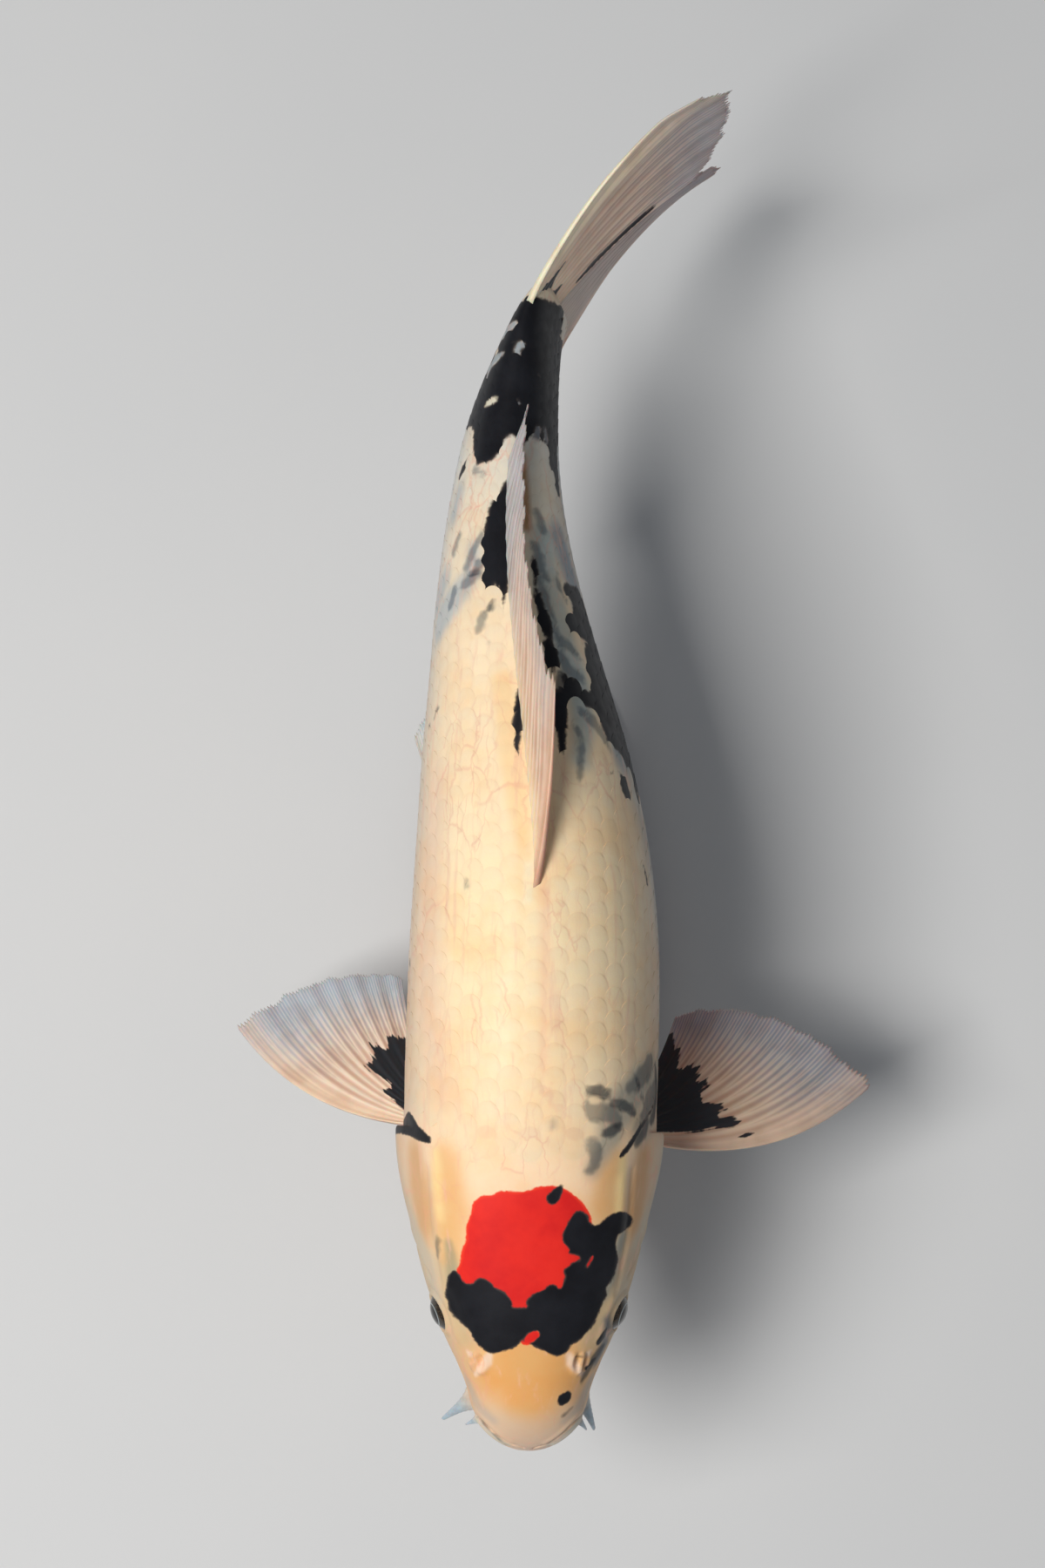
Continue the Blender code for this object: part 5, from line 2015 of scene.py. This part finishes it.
@dataclass(frozen=True)
class Fin:
    """A fin's sheet with raised rays, a thin ragged edge, and its colours, which are display values."""

    name: str
    form: PairedFin | MedianFin | TailLobe
    rays: int
    branching: Branching
    steps: int
    lead: Colour  # of the first rays
    root: Colour
    flush: Colour  # of the membrane half way out
    web: Colour  # of the membrane towards the edge
    ray: Colour
    lead_width: float = 0.10  # share of the fin that has the colour of the first rays
    clear: float = 0.80  # opacity of the membrane at the edge
    root_thickness: float = 0.0012
    edge_thickness: float = 0.00035
    ray_height: float = 0.00022
    pleat: float = 0.0005
    scallop: float = 0.02
    seed: float = 1.0
    rear: Colour | None = None  # of the rays at the back of the fin
    streaks: float = 1.3  # mm that the black runs out along the rays
    blots: tuple[tuple[tuple[float, float], ...], ...] = ()  # black, by closed lines of (share, out)

    def ray_gap(self, share: Array, out: Array) -> Array:
        """Distance to the nearest ray or branch, in spaces between rays at the root.

        Args:
            share, out: places on the sheet.

        Returns:
            The distance at each.
        """
        x = share * (self.rays - 1)
        gap = np.abs(x - np.rint(x))
        if self.branching.value >= 1:
            gap = np.abs(gap - 0.25 * smoothstep(0.34, 0.74, out))
        if self.branching.value >= 2:
            gap = np.abs(gap - 0.125 * smoothstep(0.62, 0.95, out))
        return gap

    def ray_mask(self, share: Array, out: Array) -> Array:
        """1 on the crest of a ray and 0 on the membrane."""
        width = 0.3 - 0.14 * smoothstep(0.3, 0.7, out) - 0.09 * smoothstep(0.6, 0.95, out) * self.branching.value / 2
        return np.exp(-((self.ray_gap(share, out) / width) ** 2))

    def flat(self, share: Array, out: Array) -> tuple[Array, Array]:
        """Millimetres along and, across or up, out from the body, of places on the fin."""
        along, across, up = self.form.point(share, out)
        return along / MM, (across if isinstance(self.form, PairedFin) else up) / MM

    def black(self, share: Array, out: Array) -> Array:
        """How many millimetres inside the fin's black each place is.

        Args:
            share, out: places on the sheet.

        Returns:
            The depth at each, negative outside the black.
        """
        depth = np.full(share.shape, OUTSIDE)
        x, y = self.flat(share, out)
        for i, blot in enumerate(self.blots):
            ring = smooth_ring(np.stack(self.flat(*np.array(blot).T), axis=-1))
            streak = self.streaks * wander(share * self.rays * 3.1, self.seed + i)
            depth = np.maximum(depth, ring_depth(ring, x, y) + streak * smoothstep(0.12, 0.3, out))
        return depth

    def build(self) -> Object:
        """Makes the fin and paints it.

        Returns:
            The piece.
        """
        per_ray = {Branching.NONE: 8, Branching.ONCE: 12, Branching.TWICE: 16}[self.branching]
        mesh = mesh_of(plate((self.rays - 1) * per_ray, self.steps), self.name)
        grid = coordinates(mesh)
        share, out = (grid[:, 0] + 1) / 2, (grid[:, 1] + 1) / 2
        level = np.sign(grid[:, 2])
        mask = self.ray_mask(share, out)
        edge = 1 - self.scallop * (1 - mask) * smoothstep(0.8, 1, out)
        edge = edge * (1 - 0.012 * (1 + wander(share * self.rays * 1.9, self.seed)) * smoothstep(0.7, 1, out))
        reach = out * edge
        points = FORM.at(*self.form.point(share, reach))
        e = 0.002
        wide = FORM.at(*self.form.point(share + e, reach)) - FORM.at(*self.form.point(share - e, reach))
        long = FORM.at(*self.form.point(share, reach + e)) - FORM.at(*self.form.point(share, reach - e))
        normal = np.cross(wide, long)
        normal /= np.maximum(np.linalg.norm(normal, axis=1, keepdims=True), 1e-12)
        thick = blend(self.root_thickness, self.edge_thickness, out**0.6)
        thick = thick * (1 + 1.1 * np.exp(-((share / 0.03) ** 2)) * (1 - 0.6 * out))
        half = thick / 2 + self.ray_height * mask * (1 - 0.45 * out)
        half = half * (1 - 0.6 * smoothstep(0.97, 1, out))
        swing = self.pleat * np.sin(share * (self.rays - 1) * np.pi + self.seed) * smoothstep(0.05, 0.8, out)
        swing = swing + 2 * self.pleat * wander(share * 5 + out * 2, self.seed) * out**1.5
        move(mesh, points + normal * (swing + level * half)[:, None])
        self.paint(mesh, share, out, mask)
        corners = corner_points(mesh)
        half_map = np.where(level > 0, 0, 0.5)
        lay_map(mesh, np.stack([0.01 + half_map + share * 0.47, 0.01 + out * 0.98], axis=-1)[corners])
        outward(mesh)
        return piece(f"{self.name}_rays", mesh, FinFinish(f"koi_{self.name}").build(), (self.name,))

    def paint(self, mesh: Mesh, share: Array, out: Array, mask: Array) -> None:
        """Stores the fin's colours on its mesh.

        Args:
            mesh: the fin's mesh.
            share, out: its points' places on the sheet.
            mask: 1 on the rays and 0 between them.
        """
        colours = (self.lead, self.root, self.flush, self.web, self.ray, self.rear or self.web)
        lead, root, flush, web, ray, rear = (np.array(linear(*colour)) for colour in colours)
        colour = blend(root, flush, smoothstep(0.05, 0.4, out)[:, None])
        colour = blend(colour, web, smoothstep(0.45, 0.9, out)[:, None])
        if self.rear:
            behind = 0.85 * smoothstep(0.3, 0.85, share)[:, None]
            colour = blend(colour, rear, behind)
            ray = blend(ray, rear * 1.25, behind)
        front = (1 - smoothstep(self.lead_width * 0.4, self.lead_width * 1.6, share))[:, None]
        front = front * (1 - 0.55 * smoothstep(0.35, 1, out))[:, None]
        colour = blend(colour, lead, front)
        crest = blend(ray, lead, front)
        shown = 0.85 - 0.45 * smoothstep(0.45, 0.95, out)
        colour = blend(colour, crest, (shown * mask)[:, None])
        streak = 1 + 0.05 * wander(share * self.rays * 6, self.seed + 3)
        store(mesh, "tint", np.clip(colour * streak[:, None], 0, 1))
        store(mesh, "black", self.black(share, out))
        clear = 1 - (1 - self.clear) * smoothstep(0.15, 0.8, out) * (1 - 0.8 * mask)
        clear = clear + (1 - clear) * front[:, 0]
        store(mesh, "clear", clear)


FIN_CREAM = (236, 214, 188)
FIN_GREY = (160, 168, 172)
FIN_RAY = (214, 204, 190)

PECTORAL_RIGHT_BLACK = (
    (0.2, 0.06), (0.24, 0.13), (0.3, 0.2), (0.34, 0.28), (0.4, 0.27), (0.49, 0.29), (0.45, 0.35), (0.42, 0.42),
    (0.44, 0.47), (0.49, 0.44), (0.54, 0.46), (0.57, 0.55), (0.62, 0.51), (0.69, 0.48), (0.74, 0.53), (0.8, 0.55),
    (0.86, 0.53), (0.94, 0.5), (1, 0.44), (1, 0.08), (0.6, 0.04),
)
PECTORAL_LEFT_BLACK = (
    (0.26, 0.06), (0.19, 0.2), (0.16, 0.27), (0.17, 0.35), (0.14, 0.43), (0.17, 0.48), (0.21, 0.45), (0.24, 0.41),
    (0.27, 0.42), (0.28, 0.47), (0.34, 0.44), (0.4, 0.41), (0.48, 0.42), (0.5, 0.49), (0.54, 0.53), (0.58, 0.47),
    (0.62, 0.52), (0.66, 0.59), (0.71, 0.55), (0.77, 0.52), (0.82, 0.57), (0.86, 0.66), (0.91, 0.7), (1, 0.8),
    (1, 0.08), (0.6, 0.03),
)

FINS = (
    Fin(
        "pectoral_fin_right",
        PairedFin(-1, 0.1235, 0.038, -0.027, 0.007, 0.011, 0.0942, 0.0582, 26, 74, 0.047, -0.022, 0.5, 0),
        16, Branching.TWICE, 56, lead=(240, 208, 180), root=(246, 216, 184), flush=(222, 182, 158),
        web=(166, 188, 206), ray=(246, 226, 204), seed=1, clear=0.66, blots=(PECTORAL_RIGHT_BLACK,),
    ),
    Fin(
        "pectoral_fin_left",
        PairedFin(1, 0.1215, 0.038, -0.027, 0.007, 0.011, 0.1038, 0.0474, 14, 65, 0.022, -0.01, 0.58, 0),
        # its colours are the right fin's painted darker and bluer, as shade of the side away from the light
        16, Branching.TWICE, 56, lead=(206, 182, 160), root=(226, 200, 168), flush=(196, 164, 140),
        web=(136, 150, 164), ray=(218, 200, 176), seed=2, clear=0.74,
        blots=(PECTORAL_LEFT_BLACK, ((0.075, 0.44), (0.1, 0.47), (0.09, 0.5), (0.075, 0.47))),
    ),
    Fin(
        "pelvic_fin_right",
        PairedFin(-1, 0.22, 0.014, -0.047, 0.008, 0.0035, 0.0772, 0.043, 67.5, 100, 0.014, 0.004, 0.22, 0.3),
        10, Branching.TWICE, 44, lead=(224, 214, 202), root=FIN_CREAM, flush=(222, 204, 184),
        web=(188, 200, 206), ray=(228, 224, 214), seed=3, clear=0.7,
    ),
    Fin(
        "pelvic_fin_left",
        PairedFin(1, 0.22, 0.014, -0.047, 0.008, 0.0035, 0.07, 0.042, 70, 100, 0.019, 0.004, 0.22, 0.05),
        10, Branching.TWICE, 44, lead=(214, 202, 190), root=FIN_CREAM, flush=(216, 198, 178),
        web=(180, 190, 196), ray=(220, 214, 204), seed=4, clear=0.7,
    ),
    Fin(
        "dorsal_fin",
        MedianFin(1, 0.2065, 0.377, 0.076, 0.026, 0.0315, 0.0165, 0.45, -0.0008, 0.18),
        22, Branching.ONCE, 32, lead=(214, 172, 146), root=(248, 216, 172), flush=(206, 166, 140),
        web=(196, 180, 172), ray=(232, 208, 188), lead_width=0.05, seed=5, scallop=0.05, clear=0.9,
        rear=(170, 172, 176),
    ),
    Fin(
        "anal_fin",
        MedianFin(-1, 0.345, 0.376, 0.036, 0.024, 0.046, 0.019, 0.1, 0, 0),
        8, Branching.TWICE, 36, lead=(230, 200, 160), root=FIN_CREAM, flush=(220, 196, 168), web=FIN_GREY,
        ray=FIN_RAY, seed=6,
    ),
    Fin(
        "tail_fin_upper",
        TailLobe(1, 0.0052, 0.013, 0.24, 0.1185, 0.33, 0.115),
        13, Branching.TWICE, 64, lead=(255, 236, 206), root=(250, 222, 184), flush=(214, 186, 162),
        web=(160, 172, 182), ray=(240, 222, 200), lead_width=0.2, seed=7, clear=0.8, pleat=0.0004,
        blots=(((0.18, -0.02), (0.22, 0.09), (0.28, 0.12), (0.32, 0.2), (0.35, 0.16), (0.4, 0.12), (0.5, 0.1),
                (0.6, 0.12), (0.66, 0.16), (0.72, 0.12), (0.86, 0.11), (1, 0.13), (1, -0.02)),
               ((0.93, 0.28), (0.9, 0.36), (0.92, 0.5), (0.95, 0.62), (0.97, 0.74), (1, 0.7), (1, 0.3))),
    ),
    Fin(
        "tail_fin_lower",
        TailLobe(-1, -0.0082, 0.0142, 0, 0.126, 0.57, 0),
        13, Branching.TWICE, 64, lead=(224, 208, 190), root=(206, 190, 172), flush=(176, 168, 160),
        web=(150, 160, 170), ray=(206, 198, 188), lead_width=0.1, seed=8, clear=0.8, pleat=0.0004,
        blots=(((0.02, -0.02), (0.1, 0.05), (0.3, 0.07), (0.5, 0.05), (0.7, 0.09), (1, 0.06), (1, -0.02)),),
    ),
)


# Eyes and barbels


@dataclass(frozen=True)
class Eye:
    """A round eye, a little flatter over the iris, turned out to the side."""

    side: int
    along: float = 0.0520
    angle: float = 69.0
    depth: float = 0.0082
    radius: float = 0.0104

    def build(self) -> Object:
        """Makes the eye with its cornea.

        Returns:
            The piece.
        """
        middle = FORM.surface(np.array([self.along]), np.array([self.side * self.angle]), np.array([-self.depth]))[0]
        axis = FORM.normal(np.array([self.along]), np.array([self.side * self.angle]))[0]
        bm = bmesh.new()
        bmesh.ops.create_uvsphere(bm, u_segments=64, v_segments=48, radius=self.radius)
        turn = Vector((0.0, 0.0, 1.0)).rotation_difference(Vector(axis)).to_matrix().to_4x4()
        bmesh.ops.transform(bm, matrix=Matrix.Translation(Vector(middle)) @ turn, verts=bm.verts)
        word = "left" if self.side > 0 else "right"
        mesh = mesh_of(bm, f"eye_{word}_wet")
        points = coordinates(mesh)
        offset = points - middle
        gaze = np.degrees(np.arccos(np.clip(offset @ axis / self.radius, -1, 1)))
        bulge = 1 + 0.02 * (1 - smoothstep(10, 44, gaze)) - 0.015 * smoothstep(36, 60, gaze)
        move(mesh, middle + offset * bulge[:, None])
        store(mesh, "gaze", gaze)
        return piece(f"eye_{word}_wet", mesh, EyeFinish(f"koi_eye_{word}").build(), (f"eye_{word}",))


@dataclass(frozen=True)
class Barbel:
    """A soft feeler, thickest at its root, which droops to a fine tip."""

    node: str
    side: int
    along: float
    angle: float
    length: float
    thick: float
    out: float
    forward: float
    down: float

    def build(self) -> Object:
        """Makes the feeler.

        Returns:
            The piece.
        """
        mesh = mesh_of(tube(20, 28), f"{self.node}_soft")
        grid = coordinates(mesh)
        x, y, t = grid.T
        a = math.radians(self.angle)
        r = float(FORM.radius(self.along, self.angle)) - self.thick
        stretch = self.length / math.sqrt(self.out**2 + self.forward**2 + self.down**2)
        taper = 1 - 0.8 * t + 0.5 * (1 - t) ** 6
        rings = 1 + 0.04 * np.sin(t * 60) * t * (1 - t) * 4
        thickness = self.thick * taper * rings
        thickness = thickness * np.sqrt(np.clip((1.03 - t) / 0.06, 0, 1))
        points = FORM.at(
            self.along - stretch * self.forward * t**1.2 + 0.85 * thickness * x * (1 + 1.1 * (1 - t) ** 3),
            self.side * (r * math.sin(a) + stretch * self.out * t + 0.9 * thickness * x),
            r * math.cos(a) - stretch * self.down * t**1.3 + thickness * y,
        )
        move(mesh, points)
        store(mesh, "tip", t)
        outward(mesh)
        return piece(f"{self.node}_soft", mesh, BarbelFinish(f"koi_{self.node}").build(), (self.node,))


BARBELS = (
    Barbel("barbel_lip_right", -1, 0.0115, 92, 0.009, 0.0013, 0.005, 0.002, 0.0055),
    Barbel("barbel_lip_left", 1, 0.0115, 92, 0.009, 0.0013, 0.003, 0.0035, 0.0055),
    Barbel("barbel_corner_right", -1, 0.0192, 102, 0.019, 0.0027, 0.0115, 0.007, 0.0085),
    Barbel("barbel_corner_left", 1, 0.0197, 102, 0.0175, 0.0027, 0.0045, 0.0105, 0.0085),
)


# The stand


@dataclass(frozen=True)
class Stand:
    """An oval walnut plinth with two steel rods, each with a turned foot and a rubber saddle."""

    length: float = 0.290
    width: float = 0.100
    height: float = 0.014
    gap: float = 0.0003
    rod_radius: float = 0.0040
    foot_radius: float = 0.0105
    foot_height: float = 0.0035
    saddle_radius: float = 0.0120
    saddle_height: float = 0.0080
    rods: tuple[tuple[str, float], ...] = (("front", 0.150), ("rear", 0.285))

    def build(self) -> list[Object]:
        """Makes the stand's pieces.

        Returns:
            The pieces.
        """
        made = [self.base()]
        steel, rubber = SteelFinish().build(), RubberFinish().build()
        for name, along in self.rods:
            x, y, _ = FORM.at(along, 0.0, 0.0)
            low = self.height + self.gap
            belly = FORM.spine_height - float(FORM.station(2, along))
            made.append(self.foot(name, x, y, low, steel))
            made.append(self.rod(name, x, y, low + self.foot_height, belly - self.saddle_height / 2, steel))
            made.append(self.saddle(name, x, y, along, belly, rubber))
        return made

    def base(self) -> Object:
        """The plinth, with a rounded upper edge over a shallow cove.

        Returns:
            The piece.
        """
        h = self.height
        rim = ((1, 0), (1, 0.003), (0.975, 0.0042), (0.966, 0.006), (0.972, 0.0078), (0.985, 0.009))
        top = ((0.99, 0.0105), (0.985, 0.0124), (0.972, 0.0135), (0.95, h), (0.5, h), (0, h))
        bm = turned(((0, 0), *rim, *top), 144)
        bmesh.ops.scale(bm, vec=(self.width / 2, self.length / 2, 1), verts=bm.verts)
        mesh = sharpened(mesh_of(bm, "stand_base_moulded"))
        return piece("stand_base_moulded", mesh, WalnutFinish().build(), ("stand_base",))

    def foot(self, name: str, x: float, y: float, low: float, finish: Material) -> Object:
        """A turned collar at the foot of a rod.

        Args:
            name: which rod's.
            x, y, low: where it stands.
            finish: its material.

        Returns:
            The piece.
        """
        r, h = self.foot_radius, self.foot_height
        shape = ((0, 0), (r, 0), (r, 0.0009), (r - 0.0005, 0.0014), (r - 0.003, 0.0017), (r - 0.0044, 0.0024))
        top = ((r - 0.005, h - 0.0003), (r - 0.0054, h), (0, h))
        return self.steel(f"stand_foot_{name}", "turned", turned((*shape, *top), 64), (x, y, low), finish)

    def rod(self, name: str, x: float, y: float, low: float, high: float, finish: Material) -> Object:
        """A rod with a knurled grip near its foot.

        Args:
            name: which rod.
            x, y: where it stands.
            low, high: the heights it fits between.
            finish: its material.

        Returns:
            The piece.
        """
        r = self.rod_radius
        low, high = low + self.gap, high - self.gap
        rings = [(0, low), (r - 0.0003, low), (r, low + 0.0003)]
        for i in range(6):
            z = low + 0.003 + 0.0014 * i
            rings += [(r, z - 0.0003), (r - 0.0004, z), (r, z + 0.0003)]
        rings += [(r, high - 0.0003), (r - 0.0003, high), (0, high)]
        return self.steel(f"stand_rod_{name}", "steel", turned(tuple(rings), 48), (x, y, 0), finish)

    def steel(
        self, node: str, word: str, bm: BMesh, place: tuple[float, float, float], finish: Material
    ) -> Object:
        """A turned piece of steel, set in its place.

        Args:
            node: the solid it stands for.
            word: the end of its name.
            bm: its shape round the z axis.
            place: where it goes.
            finish: its material.

        Returns:
            The piece.
        """
        bmesh.ops.translate(bm, vec=place, verts=bm.verts)
        return piece(f"{node}_{word}", sharpened(mesh_of(bm, f"{node}_{word}")), finish, (node,))

    def saddle(self, name: str, x: float, y: float, along: float, belly: float, finish: Material) -> Object:
        """A cup whose top follows the belly.

        Args:
            name: which rod's.
            x, y: where its rod stands.
            along: how far along the fish that is.
            belly: the height of the belly there.
            finish: its material.

        Returns:
            The piece.
        """
        mesh = mesh_of(plate(40, 40), f"stand_saddle_{name}_cup")
        grid = coordinates(mesh)
        px = grid[:, 0] * np.sqrt(1 - grid[:, 1] ** 2 / 2)
        py = grid[:, 1] * np.sqrt(1 - grid[:, 0] ** 2 / 2)
        away = np.hypot(px, py)
        upper = grid[:, 2] > 0
        low = belly - self.saddle_height / 2
        taper = np.where(upper, 1, 0.86)
        spread = 1 - 0.03 * smoothstep(0.9, 1, away) * upper
        wide = self.saddle_radius * taper * spread
        heading = float(np.interp(along, FORM.spine[0], FORM.spine[3]))
        lx, ly = px * wide, py * wide
        across = lx * math.cos(heading) - ly * math.sin(heading)
        ahead = along + lx * math.sin(heading) + ly * math.cos(heading)
        power = FORM.station(3, ahead)
        drop = FORM.station(2, ahead) * (1 - (np.abs(across) / FORM.station(0, ahead)) ** power) ** (1 / power)
        top = FORM.spine_height - drop - 0.0004
        top = np.minimum(top, low + self.saddle_height) - 0.0006 * smoothstep(0.93, 1, away)
        z = np.where(upper, top, low)
        move(mesh, np.stack([x + lx, y + ly, z], axis=-1))
        outward(mesh)
        return piece(f"stand_saddle_{name}_cup", sharpened(mesh), finish, (f"stand_saddle_{name}",))


# The studio


@dataclass(frozen=True)
class Studio:
    """A pale floor, soft lights and the camera, which looks down on the fish."""

    tilt: float = 8.0  # degrees from straight down
    camera_place: tuple[float, float, float] = (-0.00343, -0.11753, 1.435)
    lens: float = 76.5
    floor_size: float = 8.0

    def build(self) -> None:
        """Sets up floor, lights, world and camera."""
        bm = bmesh.new()
        bmesh.ops.create_grid(bm, x_segments=8, y_segments=8, size=self.floor_size / 2)
        mesh = mesh_of(bm, "studio_floor")
        mesh.materials.append(PaperFinish().build())
        floor = bpy.data.objects.new("studio_floor", mesh)
        bpy.context.scene.collection.objects.link(floor)
        self.light("key", (-0.92, -0.3, 1.95), 0.9, 41, (1, 0.97, 0.93))
        self.light("fill", (1.6, -0.8, 1.3), 1.8, 1.5, (0.88, 0.94, 1))
        world = bpy.data.worlds.new("studio")
        world.use_nodes = True
        sky = {"Color": (0.86, 0.92, 1, 1), "Strength": 0.18}
        Graph(world.node_tree).give(world.node_tree.nodes["Background"], sky)
        bpy.context.scene.world = world
        bpy.context.scene.view_settings.view_transform = "Standard"
        self.camera()

    def light(self, name: str, place: tuple[float, float, float], size: float, power: float, colour: Colour) -> None:
        """A soft square light that faces the fish.

        Args:
            name: its name.
            place: where it hangs.
            size: its side in metres.
            power: its power in watts.
            colour: its colour.
        """
        lamp = bpy.data.lights.new(name, "AREA")
        lamp.size, lamp.energy, lamp.color = size, power, colour
        obj = bpy.data.objects.new(name, lamp)
        obj.location = place
        obj.rotation_euler = (Vector((0.0, 0.05, 0.12)) - Vector(place)).to_track_quat("-Z", "Y").to_euler()
        bpy.context.scene.collection.objects.link(obj)

    def camera(self) -> None:
        """The camera."""
        lens = bpy.data.cameras.new("camera")
        lens.lens, lens.sensor_width, lens.clip_start, lens.clip_end = self.lens, 36, 0.05, 50
        obj = bpy.data.objects.new("camera", lens)
        obj.location = self.camera_place
        obj.rotation_euler = (math.radians(self.tilt), 0, 0)
        bpy.context.scene.collection.objects.link(obj)
        bpy.context.scene.camera = obj


def main() -> None:
    """Builds the fish, its stand and the studio."""
    logging.basicConfig(level=logging.INFO, format="%(message)s")
    Studio().build()
    Skin().build()
    Scales().build()
    for fin in FINS:
        fin.build()
    for side in (1, -1):
        Eye(side).build()
    for barbel in BARBELS:
        barbel.build()
    Stand().build()


if __name__ == "__main__":
    main()
